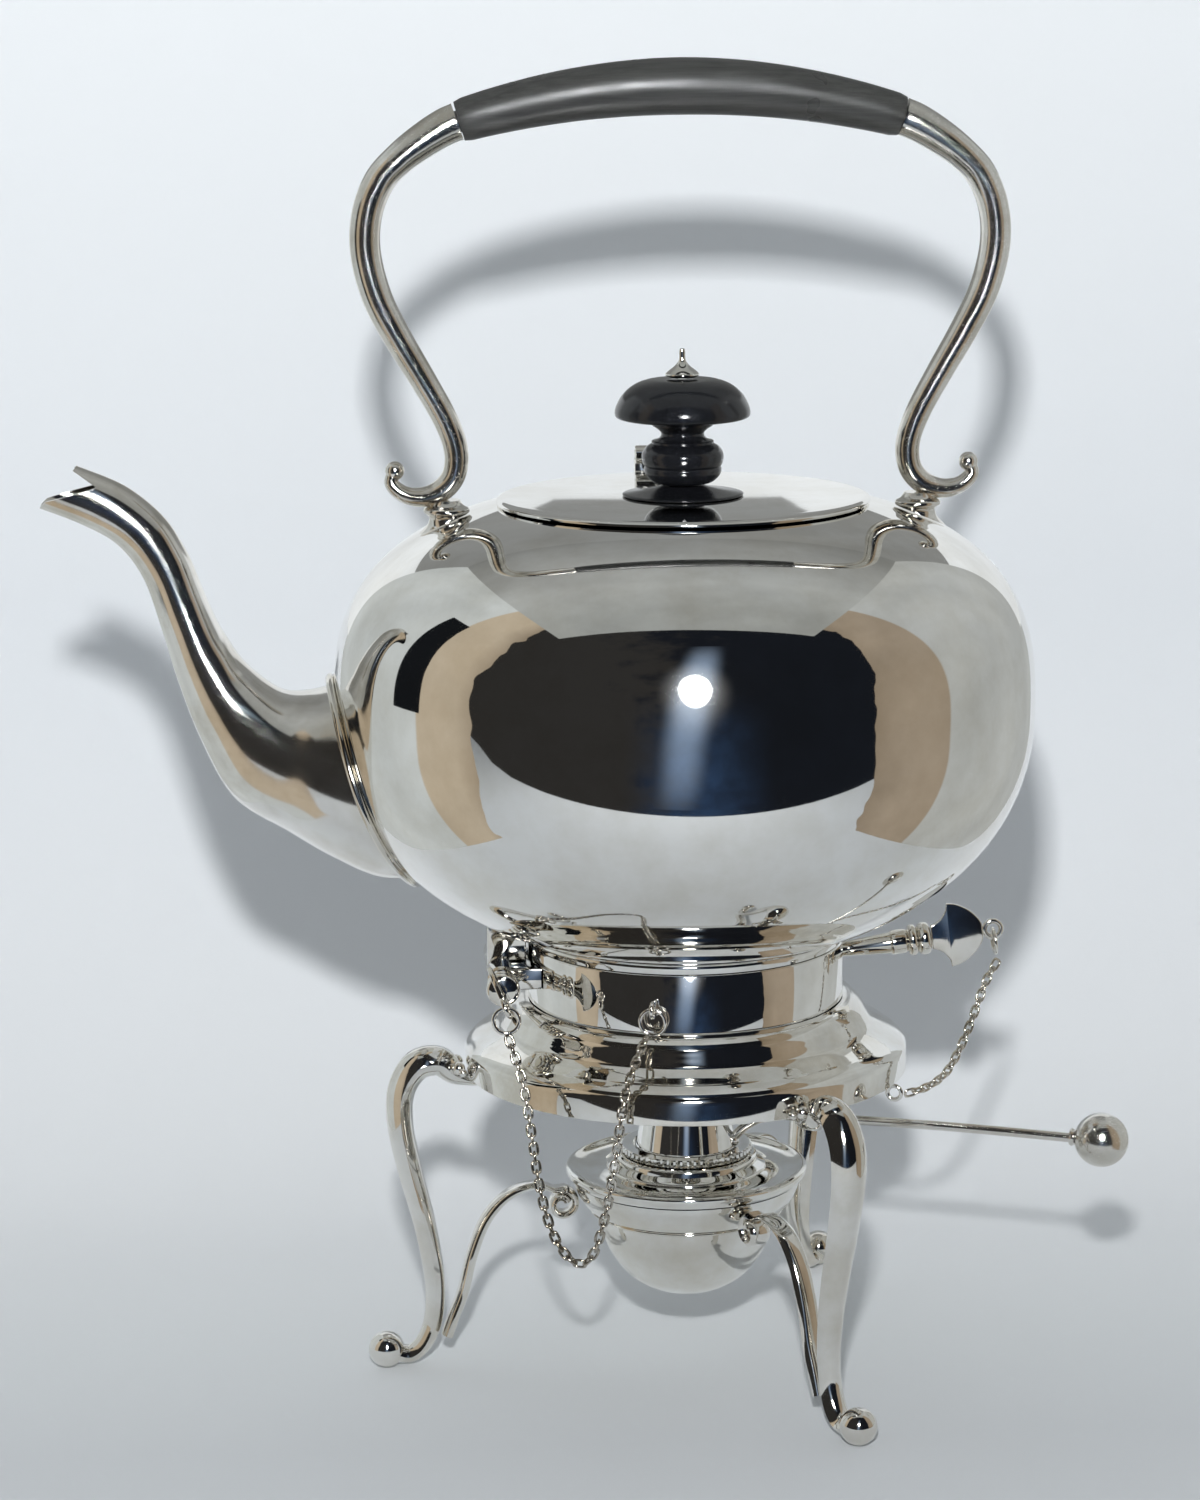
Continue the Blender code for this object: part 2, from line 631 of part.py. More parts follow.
def body_bottom_z(radius, grow=0):
    power = BODY_BOTTOM_POWER
    share = max(1 - (radius / (BODY_RADIUS + grow)) ** power, 0)
    return BODY_EQUATOR_Z - (BODY_DROP + grow) * share ** (1 / power)


def body_radius_at(height):
    """The body's outer radius at a height."""
    above = height > BODY_EQUATOR_Z
    power = BODY_TOP_POWER if above else BODY_BOTTOM_POWER
    reach = BODY_RISE if above else BODY_DROP
    return BODY_RADIUS * max(1 - (abs(height - BODY_EQUATOR_Z) / reach) ** power, 0) ** (1 / power)


def body_line(start_radius, grow=0):
    """The body's outer line from a radius on its top, round the girth, to the axis below."""
    top_rows = 7
    bottom_rows = 8
    radius = BODY_RADIUS + grow
    start = math.acos(min((start_radius / radius) ** (BODY_TOP_POWER / 2), 1))
    line = []
    for row in range(top_rows):
        t = start * (1 - row / top_rows)
        out = radius * math.cos(t) ** (2 / BODY_TOP_POWER)
        line.append((out, BODY_EQUATOR_Z + (BODY_RISE + grow) * math.sin(t) ** (2 / BODY_TOP_POWER)))
    for row in range(bottom_rows):
        t = math.pi / 2 * row / bottom_rows
        out = radius * math.cos(t) ** (2 / BODY_BOTTOM_POWER)
        line.append((out, BODY_EQUATOR_Z - (BODY_DROP + grow) * math.sin(t) ** (2 / BODY_BOTTOM_POWER)))
    line.append((0, BODY_EQUATOR_Z - BODY_DROP - grow))
    return line


LID_BOTTOM_Z = body_top_z(LID_MOUTH_RADIUS) + GAP
LID_TOP_Z = LID_BOTTOM_Z + LID_THICKNESS
KNOB_BOTTOM_Z = LID_TOP_Z + GAP
LID_HINGE_Z = LID_TOP_Z + GAP + LID_HINGE_LIFT + LID_BARREL_RADIUS
PIVOTS["lid"].z = LID_HINGE_Z

for body_name, pivot_point in PIVOTS.items():
    add_anchor(body_name, pivot_point)

body_solid = [(0, BODY_EQUATOR_Z + BODY_RISE + GAP)] + body_line(LID_MOUTH_RADIUS / 2, GAP)
body_clearance = place_cutter(turned("body_clearance", body_solid, BIG_SEGMENTS))
collar_clearance = place_cutter(
    cylinder("collar_clearance", COLLAR_RADIUS + GAP, COLLAR_TOP_Z, BIG_SEGMENTS),
    (0, 0, COLLAR_TOP_Z / 2 + COLLAR_HEIGHT),
)
rim_clearance = place_cutter(
    cylinder("rim_clearance", RIM_RADIUS + GAP, RIM_BOTTOM_Z, BIG_SEGMENTS),
    (0, 0, RIM_BOTTOM_Z * 3 / 2 - GAP),
)


def make_collar():
    outer = [(COLLAR_RADIUS, COLLAR_TOP_Z), (COLLAR_RADIUS, COLLAR_BOTTOM_Z)]
    obj = turned("stand_collar", sheet_profile(outer, COLLAR_WALL), BIG_SEGMENTS, closed=True)
    drill_length = COLLAR_WALL + 2 * CUT_OVERRUN
    middle = REAR_TIP + REAR_AXIS * (COLLAR_RADIUS - REAR_TIP.x)
    share = (COLLAR_RADIUS - REAR_TIP.x) / REAR_SHAFT_LENGTH
    radius = REAR_TIP_RADIUS + (REAR_SHAFT_RADIUS - REAR_TIP_RADIUS) * share + PIN_SLACK
    drill = cylinder("rear_pin_hole", radius, drill_length, SMALL_SEGMENTS)
    boolean(obj, place_cutter(drill, middle, turn_to(REAR_AXIS)))
    return place(obj, "stand", SILVER)


def make_gallery():
    inner_radius = COLLAR_RADIUS - COLLAR_WALL
    outer = [(inner_radius, GALLERY_TOP_Z)]
    for out, up in GALLERY_SHARES:
        radius = COLLAR_RADIUS + out * (RIM_RADIUS - COLLAR_RADIUS)
        outer.append((radius, RIM_TOP_Z + up * (GALLERY_TOP_Z - RIM_TOP_Z)))
    outer.append((RIM_RADIUS, RIM_BOTTOM_Z))
    obj = turned("stand_gallery", sheet_profile(outer, GALLERY_WALL), BIG_SEGMENTS, closed=True)
    return place(obj, "stand", SILVER)


def make_legs():
    section = [
        (1.12, 0), (0.74, 0.70), (0, 1), (-0.74, 0.70), (-1.0, 0), (-0.74, -0.70), (0, -1), (0.74, -0.70)
    ]
    spread = FOOT_CIRCLE_RADIUS - LEG_TOP_RADIUS
    stations = [
        (LEG_TOP_RADIUS + out * spread, up * RIM_BOTTOM_Z, thick * LEG_HALF_THICKNESS, wide * LEG_HALF_WIDTH)
        for out, up, thick, wide in LEG_SHARES
    ]
    for number, turn in enumerate(LEG_TURNS):
        name = f"leg_{number + 1}"
        leg = sweep_in_plane(name, smooth_line(stations, 15), turn, section)
        foot = ball(name + "_foot", FOOT_BALL_RADIUS, SMALL_SEGMENTS, 8)
        centre = radial(turn, FOOT_CIRCLE_RADIUS, FOOT_BALL_RADIUS - FOOT_FLAT_DEPTH)
        boolean(leg, place_cutter(foot, centre), "UNION")
        low_corner = (-FOOT_CIRCLE_RADIUS, -FOOT_CIRCLE_RADIUS, -FOOT_BALL_RADIUS)
        floor = box(name + "_floor", low_corner, (FOOT_CIRCLE_RADIUS, FOOT_CIRCLE_RADIUS, 0))
        boolean(leg, place_cutter(floor, radial(turn, FOOT_CIRCLE_RADIUS, 0)))
        boolean(leg, rim_clearance)
        place(smooth(leg), "stand", SILVER)


def make_straps():
    spread = FOOT_CIRCLE_RADIUS - STRAP_FOOT_INSET - LAMP_RING_RADIUS
    half = STRAP_THICKNESS / 2
    foot_z = STRAP_FOOT_HEIGHT_SHARE * RIM_BOTTOM_Z
    rise = LAMP_RING_TOP_Z - foot_z
    line = smooth_line(
        [(LAMP_RING_RADIUS + out * spread, foot_z + up * rise, thick * half) for out, up, thick in STRAP_SHARES],
        12,
    )
    centre_radius = LAMP_RING_RADIUS + ROLL_OUT_SHARE * spread
    centre_height = LAMP_RING_TOP_Z - STRAP_ROLL_DROP
    roll_steps = 9
    for step in range(roll_steps):
        t = ROLL_FIRST_TURN + step * 2 * math.pi / roll_steps
        reach = STRAP_ROLL_RADIUS * (1 - ROLL_END_SHARE * step / roll_steps)
        point = (centre_radius + reach * math.cos(t), centre_height + reach * math.sin(t))
        line.append((*point, ROLL_THICKNESS_SHARE * half))
    stations = [(radius, height, thick, STRAP_WIDTH / 2) for radius, height, thick in line]
    section = [(1, 1), (-1, 1), (-1, -1), (1, -1)]
    for number, turn in enumerate(LEG_TURNS):
        strap = sweep_in_plane(f"leg_strap_{number + 1}", stations, turn, section)
        place(smooth(strap), "stand", SILVER)


def make_lamp_ring():
    bottom = LAMP_RING_TOP_Z - LAMP_RING_DEPTH
    outer = scaled(LAMP_RING_SHARES, LAMP_RING_RADIUS, bottom, LAMP_RING_DEPTH)
    obj = turned("lamp_ring", sheet_profile(outer, LAMP_RING_WALL), BIG_SEGMENTS, closed=True)
    return place(obj, "stand", SILVER)


def hinge_bore():
    length = 2 * FRONT_SHAFT_LENGTH
    bore = cylinder("hinge_bore", FRONT_SHAFT_RADIUS + PIN_SLACK, length, SMALL_SEGMENTS)
    return place_cutter(bore, (TILT_AXIS_X, 0, TILT_AXIS_Z), turn_to(FRONT_AXIS))


def make_front_hinge():
    """Two knuckles on the collar, with the kettle's knuckle and its lug between them."""
    bore = hinge_bore()
    half_kettle = KETTLE_KNUCKLE_LENGTH / 2
    middle = half_kettle + GAP + STAND_KNUCKLE_LENGTH / 2
    leaf_end = TILT_AXIS_X / 2
    for name, y in (("hinge_knuckle_near", -middle), ("hinge_knuckle_far", middle)):
        knuckle = cylinder(name, KNUCKLE_RADIUS, STAND_KNUCKLE_LENGTH, SMALL_SEGMENTS)
        half = STAND_KNUCKLE_LENGTH / 2
        leaf = box(
            name + "_leaf",
            (TILT_AXIS_X, y - half, TILT_AXIS_Z - HINGE_LEAF_THICKNESS / 2),
            (leaf_end, y + half, TILT_AXIS_Z + HINGE_LEAF_THICKNESS / 2),
        )
        boolean(knuckle, place_cutter(leaf), "UNION")
        boolean(knuckle, collar_clearance)
        boolean(knuckle, bore)
        place(smooth(knuckle), "stand", SILVER, (TILT_AXIS_X, y, TILT_AXIS_Z), turn_to(FRONT_AXIS))
    lug = cylinder("hinge_lug", KNUCKLE_RADIUS, KETTLE_KNUCKLE_LENGTH, SMALL_SEGMENTS)
    foot_edge = -(COLLAR_RADIUS + 2 * GAP)
    post = box(
        "hinge_lug_post",
        (TILT_AXIS_X - LUG_WIDTH_SHARE * KNUCKLE_RADIUS, -half_kettle, TILT_AXIS_Z),
        (foot_edge, half_kettle, BODY_EQUATOR_Z - BODY_DROP / 2),
    )
    boolean(lug, place_cutter(post), "UNION")
    boolean(lug, body_clearance)
    boolean(lug, bore)
    place(smooth(lug), "kettle", SILVER, (TILT_AXIS_X, 0, TILT_AXIS_Z), turn_to(FRONT_AXIS))


def make_kettle_body():
    outer = body_line(LID_MOUTH_RADIUS)
    obj = turned("kettle_body", vessel_profile(outer, BODY_WALL), BIG_SEGMENTS)
    places = [(0, 0)] + circle_points(STRAINER_SPACING, 6)
    for number, (y, rise) in enumerate(places):
        hole = cylinder(f"strainer_hole_{number + 1}", STRAINER_HOLE_RADIUS, BODY_RADIUS, 8)
        centre = (-BODY_RADIUS, y, STRAINER_Z + rise)
        boolean(obj, place_cutter(hole, centre, turn_to((1, 0, 0))))
    return place(obj, "kettle", SILVER)


def make_kettle_foot():
    """Foot ring that stands on the collar, with a spigot inside it that the rear pin locks."""
    ring_inner = COLLAR_RADIUS - FOOT_RING_WIDTH + SPIGOT_WALL
    spigot_inner = SPIGOT_RADIUS - SPIGOT_WALL
    profile = [
        (spigot_inner, body_bottom_z(spigot_inner, GAP)),
        (ring_inner, body_bottom_z(ring_inner, GAP)),
        (COLLAR_RADIUS, body_bottom_z(COLLAR_RADIUS, GAP)),
        (COLLAR_RADIUS, FOOT_BOTTOM_Z),
        (SPIGOT_RADIUS, FOOT_BOTTOM_Z),
        (SPIGOT_RADIUS, SPIGOT_BOTTOM_Z),
        (spigot_inner, SPIGOT_BOTTOM_Z),
    ]
    obj = turned("kettle_foot", profile, BIG_SEGMENTS, closed=True)
    low = REAR_PIN_AXIS_Z - REAR_TIP_RADIUS - SPIGOT_SLOT_DROP
    high = REAR_PIN_AXIS_Z + REAR_TIP_RADIUS + PIN_SLACK
    slot = box(
        "spigot_slot",
        (spigot_inner - CUT_OVERRUN, -SPIGOT_SLOT_HALF_WIDTH, low),
        (SPIGOT_RADIUS + CUT_OVERRUN, SPIGOT_SLOT_HALF_WIDTH, high),
    )
    boolean(obj, place_cutter(slot))
    return place(obj, "kettle", SILVER)


def spout_point(out, up):
    """A point of the spout's edge. Inside the body's girth its reach follows the body."""
    throw = SPOUT_TIP_REACH - BODY_RADIUS if out > 0 else SPOUT_ROOT_SHARE * BODY_RADIUS
    return Vector((-(BODY_RADIUS + out * throw), 0, BODY_EQUATOR_Z + up * SPOUT_TIP_RISE))


def spout_rings():
    rings = []
    for upper_out, upper_up, lower_out, lower_up, wide in smooth_line(SPOUT_SHARES, 14):
        upper = spout_point(upper_out, upper_up)
        lower = spout_point(lower_out, lower_up)
        centre = (upper + lower) / 2
        half = (upper - lower) / 2
        side = Vector((0, wide * SPOUT_HALF_WIDTH, 0))
        rings.append([centre + half * c + side * s for c, s in circle_points(1, SPOUT_SIDES)])
    return rings


def make_spout():
    obj = loft("spout", spout_rings(), capped=False)
    wall = obj.modifiers.new("wall", "SOLIDIFY")
    wall.thickness = SPOUT_WALL
    wall.offset = -1
    wall.use_even_offset = True
    boolean(obj, body_clearance)
    before, last = SPOUT_SHARES[-2:]
    upper = spout_point(*last[:2])
    lower = spout_point(*last[2:4])
    heel = (spout_point(*before[:2]) + spout_point(*before[2:4])) / 2
    mouth = (upper + lower) / 2
    inward = (heel - mouth).normalized()
    rising = (upper - lower).normalized()
    point = mouth + inward * BEAK_NOTCH_DEPTH + rising * BEAK_NOTCH_OPENING / 4
    opening = rising * BEAK_NOTCH_OPENING / 2
    beyond = -inward * BEAK_NOTCH_DEPTH / 4
    side = Vector((0, SPOUT_HALF_WIDTH, 0))
    corners = [point, mouth + opening + beyond, mouth - opening + beyond]
    notch = loft("beak_notch", [[c - side for c in corners], [c + side for c in corners]])
    boolean(obj, place_cutter(notch))
    return place(smooth(obj, 50), "kettle", SILVER)


def make_seam_bead():
    """A wire round the spout's root, laid on the body."""
    rings = spout_rings()
    root = []
    for rib in zip(*rings):
        for inner, outer in zip(rib, rib[1:]):
            inside = math.hypot(inner.x, inner.y) - body_radius_at(inner.z)
            outside = math.hypot(outer.x, outer.y) - body_radius_at(outer.z)
            if inside < 0 <= outside:
                root.append(inner.lerp(outer, inside / (inside - outside)))
                break
    centre = sum(root, Vector()) / len(root)
    away = SEAM_BEAD_RADIUS + 2 * GAP
    points = []
    for point in root:
        outward = point - centre
        outward.x = 0
        moved = point + outward.normalized() * away
        radius = body_radius_at(moved.z) + away
        points.append(Vector((-math.sqrt(radius ** 2 - moved.y ** 2), moved.y, moved.z)))
    points = smooth_line(points + points[:1], 2 * len(points) + 1)[:-1]
    bead = tube("spout_seam_bead", points, [SEAM_BEAD_RADIUS] * len(points), 1)
    bead.data.splines[0].use_cyclic_u = True
    bead = to_mesh(bead)
    boolean(bead, body_clearance)
    return place(smooth(bead, 60), "kettle", SILVER)


def make_lid():
    outer = [(KNOB_BOLT_RADIUS + PIN_SLACK, LID_TOP_Z)]
    outer += scaled(LID_SHARES, LID_RADIUS, LID_BOTTOM_Z, LID_THICKNESS)
    outer.append((LID_RADIUS, LID_TOP_Z - LID_THICKNESS / 3))
    lip = LID_BOTTOM_Z - LID_LIP_DROP
    outer.append((LID_RADIUS, lip))
    outer.append((LID_RADIUS - LID_THICKNESS, lip))
    outer.append((LID_RADIUS - LID_THICKNESS, LID_BOTTOM_Z))
    outer.append((KNOB_BOLT_RADIUS + PIN_SLACK, LID_BOTTOM_Z))
    place(turned("lid_cover", outer, BIG_SEGMENTS, closed=True), "lid", SILVER)
    bezel_radius = LID_MOUTH_RADIUS - BEZEL_PLAY
    top = LID_BOTTOM_Z - GAP
    bezel = [(bezel_radius, top), (bezel_radius, top - BEZEL_DEPTH)]
    place(turned("lid_bezel", sheet_profile(bezel, BEZEL_WALL), BIG_SEGMENTS, closed=True), "lid", SILVER)


def make_knob():
    bore = KNOB_BOLT_RADIUS + PIN_SLACK
    disc = scaled(DISC_SHARES, KNOB_DISC_RADIUS, KNOB_BOTTOM_Z, KNOB_DISC_HEIGHT)
    place(turned("knob_disc", bored(disc, bore), MIDDLE_SEGMENTS, closed=True), "lid", GLOSS_EBONY)
    stem_bottom = KNOB_BOTTOM_Z + KNOB_DISC_HEIGHT + GAP
    cap_bottom = KNOB_BOTTOM_Z + KNOB_HEIGHT - KNOB_CAP_HEIGHT
    stem = scaled(STEM_SHARES, KNOB_STEM_RADIUS, stem_bottom, cap_bottom - GAP - stem_bottom)
    place(turned("knob_stem", bored(stem, bore), MIDDLE_SEGMENTS, closed=True), "lid", GLOSS_EBONY)
    cap = scaled(CAP_SHARES, KNOB_CAP_RADIUS, cap_bottom, KNOB_CAP_HEIGHT)
    place(turned("knob_cap", bored(cap, bore), MIDDLE_SEGMENTS, closed=True), "lid", GLOSS_EBONY)
    finial_bottom = KNOB_BOTTOM_Z + KNOB_HEIGHT + GAP
    finial = scaled(FINIAL_SHARES, FINIAL_RADIUS, finial_bottom, FINIAL_HEIGHT) + [(0, finial_bottom)]
    place(turned("knob_finial", finial, SMALL_SEGMENTS), "lid", SILVER)
    nut_top = LID_BOTTOM_Z - GAP
    bolt_bottom = nut_top - KNOB_NUT_HEIGHT - GAP
    bolt_length = finial_bottom - GAP - bolt_bottom
    bolt = cylinder("knob_bolt", KNOB_BOLT_RADIUS, bolt_length, SMALL_SEGMENTS)
    place(smooth(bolt), "lid", SILVER, (0, 0, bolt_bottom + bolt_length / 2))
    nut = [(KNOB_NUT_RADIUS, nut_top), (KNOB_NUT_RADIUS, nut_top - KNOB_NUT_HEIGHT)]
    place(turned("knob_nut", bored(nut, bore), 6, closed=True), "lid", SILVER)


def make_lid_hinge():
    axis_turn = turn_to((1, 0, 0))
    half_middle = LID_MIDDLE_KNUCKLE_LENGTH / 2
    side_length = (LID_BARREL_LENGTH - LID_MIDDLE_KNUCKLE_LENGTH) / 2 - GAP
    side_middle = half_middle + GAP + side_length / 2
    bore = place_cutter(
        cylinder("lid_hinge_bore", LID_PIN_RADIUS + PIN_SLACK, 2 * LID_BARREL_LENGTH, 8),
        (0, LID_HINGE_Y, LID_HINGE_Z), axis_turn,
    )
    for name, x in (("body_knuckle_left", -side_middle), ("body_knuckle_right", side_middle)):
        knuckle = cylinder(name, LID_BARREL_RADIUS, side_length, SMALL_SEGMENTS)
        post = box(
            name + "_post",
            (x - side_length / 2, LID_HINGE_Y - LID_BARREL_RADIUS / 2, BODY_EQUATOR_Z + BODY_RISE / 2),
            (x + side_length / 2, LID_HINGE_Y + 2 * LID_BARREL_RADIUS, LID_HINGE_Z),
        )
        boolean(knuckle, place_cutter(post), "UNION")
        boolean(knuckle, body_clearance)
        boolean(knuckle, bore)
        place(smooth(knuckle), "kettle", SILVER, (x, LID_HINGE_Y, LID_HINGE_Z), axis_turn)
    lid_knuckle = cylinder("lid_knuckle", LID_BARREL_RADIUS, LID_MIDDLE_KNUCKLE_LENGTH, SMALL_SEGMENTS)
    leaf_low = LID_TOP_Z + GAP
    leaf = box(
        "lid_leaf",
        (-half_middle, LID_HINGE_Y - LID_LEAF_REACH, leaf_low),
        (half_middle, LID_HINGE_Y, leaf_low + LID_LEAF_THICKNESS),
    )
    riser = box(
        "lid_riser",
        (-half_middle, LID_HINGE_Y - LID_LEAF_THICKNESS, leaf_low),
        (half_middle, LID_HINGE_Y + LID_LEAF_THICKNESS, LID_HINGE_Z),
    )
    boolean(lid_knuckle, place_cutter(leaf), "UNION")
    boolean(lid_knuckle, place_cutter(riser), "UNION")
    boolean(lid_knuckle, bore)
    place(smooth(lid_knuckle), "lid", SILVER, (0, LID_HINGE_Y, LID_HINGE_Z), axis_turn)
    pin = cylinder("lid_hinge_pin", LID_PIN_RADIUS, LID_BARREL_LENGTH, 8)
    place(smooth(pin), "kettle", SILVER, (0, LID_HINGE_Y, LID_HINGE_Z), axis_turn)


def grip_point(x):
    return Vector((x, 0, GRIP_CROWN_Z - GRIP_END_DROP * (x / GRIP_HALF_SPAN) ** 2))


def make_handle():
    """Ebony grip between two silver arms. A tenon at each end is pinned in the arm's socket."""
    count = 13
    points = []
    radii = []
    for step in range(count):
        share = 2 * step / (count - 1) - 1
        points.append(grip_point(share * (GRIP_HALF_SPAN - GAP)))
        taper = abs(share) ** GRIP_TAPER_POWER
        radii.append(GRIP_CROWN_RADIUS + (GRIP_END_RADIUS - GRIP_CROWN_RADIUS) * taper)
    grip = to_mesh(tube("handle_grip", points, radii, 4))
    for side, label in ((-1, "left"), (1, "right")):
        end = grip_point(side * GRIP_HALF_SPAN)
        slope = 2 * GRIP_END_DROP / GRIP_HALF_SPAN
        direction = Vector((side, 0, -slope)).normalized()
        tenon_length = TENON_LENGTH + 2 * GRIP_END_RADIUS
        tenon = cylinder("tenon_" + label, TENON_RADIUS, tenon_length, SMALL_SEGMENTS)
        tenon_middle = end + direction * (TENON_LENGTH - tenon_length / 2)
        boolean(grip, place_cutter(tenon, tenon_middle, turn_to(direction)), "UNION")
        stations = [
            (out * ARM_REACH, BODY_EQUATOR_Z + up * GRIP_CROWN_RISE, share * ARM_RADIUS)
            for out, up, share in ARM_SHARES
        ]
        line = smooth_line(stations, 26)
        arm_points = [(side * out, 0, up) for out, up, radius in line]
        arm = to_mesh(tube("handle_arm_" + label, arm_points, [radius for out, up, radius in line]))
        trim = cylinder("arm_end_trim_" + label, 2 * ARM_RADIUS, TENON_LENGTH, SMALL_SEGMENTS)
        boolean(arm, place_cutter(trim, end + direction * (GAP - TENON_LENGTH / 2), turn_to(direction)))
        socket_length = 2 * (TENON_LENGTH + GAP)
        socket = cylinder("socket_" + label, TENON_RADIUS + PIN_SLACK, socket_length, SMALL_SEGMENTS)
        boolean(arm, place_cutter(socket, end, turn_to(direction)))
        pin_centre = end + direction * TENON_LENGTH / 2
        pin_length = 2 * (ARM_RADIUS + GRIP_PIN_PROUD)
        across = turn_to((0, -1, 0))
        drill = place_cutter(
            cylinder("pin_drill_" + label, GRIP_PIN_RADIUS + PIN_SLACK, 2 * pin_length, 8), pin_centre, across
        )
        boolean(arm, drill)
        boolean(grip, drill)
        place(smooth(arm, 50), "kettle", SILVER)
        clearance = tube("arm_clearance_" + label, arm_points, [radius + GAP for out, up, radius in line])
        clearance = place_cutter(to_mesh(clearance))
        pin = cylinder("grip_pin_" + label, GRIP_PIN_RADIUS, pin_length, 8)
        place(smooth(pin), "kettle", SILVER, pin_centre, across)
        low = body_bottom_stub()
        stub = scaled(STUB_SHARES, STUB_RADIUS, low, STUB_TOP_Z - low)
        stub = turned("handle_stub_" + label, [(0, stub[0][1])] + stub + [(0, low)], SMALL_SEGMENTS + 2)
        boolean(stub, body_clearance)
        boolean(stub, clearance)
        place(stub, "kettle", SILVER, (side * STUB_X, 0, 0))
    place(smooth(grip, 50), "kettle", SATIN_EBONY)


def body_bottom_stub():
    """A level just inside the body's shoulder, where a stub's foot is cut to the body."""
    return body_top_z(STUB_X + STUB_RADIUS) - GAP


def make_pin(name, body, tip, axis, tip_radius, shaft_radius, shaft_length, across):
    """A pin with a turned reel, an axe-shaped thumb plate with an eye, and its jump ring."""
    reel_start = shaft_length
    reel = [(radius * PIN_REEL_RADIUS, reel_start + rise * PIN_REEL_LENGTH) for radius, rise in REEL_SHARES]
    reel_end = reel_start + PIN_REEL_LENGTH
    profile = [(0, reel_end)] + reel
    profile += [(shaft_radius, reel_start), (tip_radius, tip_radius / 2), (tip_radius / 2, 0), (0, 0)]
    place(turned(name, profile, SMALL_SEGMENTS), body, SILVER, tip, turn_to(axis))
    start = reel_end + GAP
    side = [(half * PIN_PLATE_HALF_HEIGHT, start + out * PIN_PLATE_LENGTH) for out, half in PLATE_SHARES]
    eye_centre = start + PIN_PLATE_LENGTH + PIN_EYE_RADIUS * EYE_OUT_SHARE
    eye = [
        (PIN_EYE_RADIUS * math.cos(t), eye_centre + PIN_EYE_RADIUS * math.sin(t))
        for t in [math.radians(angle) for angle in (-40, 0, 30, 60, 90)]
    ]
    right = side + eye
    outline = right + [(-x, y) for x, y in reversed(right) if x > MERGE_DISTANCE]
    hole = circle_points(PIN_EYE_HOLE_RADIUS, 8, (0, eye_centre))
    plate = outline_plate(name + "_plate", outline, [hole], PIN_PLATE_THICKNESS)
    normal = Vector(across).cross(axis)
    turn = Matrix((across, axis, normal)).transposed()
    place(plate, body, SILVER, tip, turn)
    eye_place = tip + axis * eye_centre
    down = Vector((0, 0, -1))
    hang = (down - axis * down.dot(axis)).normalized()
    ring = wire_ring(name + "_ring", JUMP_RING_RADIUS, JUMP_RING_WIRE_RADIUS)
    ring_place = eye_place + hang * JUMP_RING_RADIUS
    place(ring, body, SILVER, ring_place, turn_to(axis))
    return ring_place


def make_pins():
    """Makes both pins and returns the places of their jump rings."""
    roll = FRONT_PLATE_ROLL
    front_ring = make_pin(
        "front_pin", "front_pin", FRONT_TIP, FRONT_AXIS,
        FRONT_SHAFT_RADIUS, FRONT_SHAFT_RADIUS, FRONT_SHAFT_LENGTH,
        Vector((-math.sin(roll), 0, math.cos(roll))),
    )
    rear_ring = make_pin(
        "rear_pin", "rear_pin", REAR_TIP, REAR_AXIS, REAR_TIP_RADIUS, REAR_SHAFT_RADIUS, REAR_SHAFT_LENGTH,
        Vector((-math.sin(REAR_PIN_SLOPE), 0, math.cos(REAR_PIN_SLOPE))),
    )
    return front_ring, rear_ring


def make_chain(name, start, end, hang, count):
    last = len(hang) - 1
    route = [start.lerp(end, i / last) + Vector(offset) for i, offset in enumerate(hang)]
    points = smooth_line(route, count)
    place(smooth(to_mesh(tube(name, points, [CHAIN_TUBE_RADIUS] * count))), "stand", SILVER)


def make_chains(front_ring, rear_ring):
    """Small eyes on the stand, a jump ring on the front one, and the two hanging chains."""
    eye_outer = CHAIN_EYE_RADIUS + CHAIN_EYE_WIRE_RADIUS
    front_eye = radial(FRONT_EYE_TURN, COLLAR_RADIUS + GAP + eye_outer, FRONT_EYE_Z)
    tangent = Vector((-math.sin(FRONT_EYE_TURN), math.cos(FRONT_EYE_TURN), 0))
    outward = radial(FRONT_EYE_TURN, 1, 0)
    eye = wire_ring("front_chain_eye", CHAIN_EYE_RADIUS, CHAIN_EYE_WIRE_RADIUS)
    place(eye, "stand", SILVER, front_eye, turn_to(tangent))
    ring = wire_ring("front_chain_ring", JUMP_RING_RADIUS, JUMP_RING_WIRE_RADIUS)
    front_end = front_eye - Vector((0, 0, JUMP_RING_RADIUS))
    place(ring, "stand", SILVER, front_end, turn_to(outward))
    band_middle = RIM_RADIUS - GALLERY_WALL / 2
    rear_eye = radial(REAR_EYE_TURN, band_middle, RIM_BOTTOM_Z - GAP - eye_outer)
    rear_tangent = Vector((-math.sin(REAR_EYE_TURN), math.cos(REAR_EYE_TURN), 0))
    eye = wire_ring("rear_chain_eye", CHAIN_EYE_RADIUS, CHAIN_EYE_WIRE_RADIUS)
    place(eye, "stand", SILVER, rear_eye, turn_to(rear_tangent))
    make_chain("front_chain", front_ring, front_end, FRONT_CHAIN_HANG, 28)
    make_chain("rear_chain", rear_ring, rear_eye, REAR_CHAIN_HANG, 14)


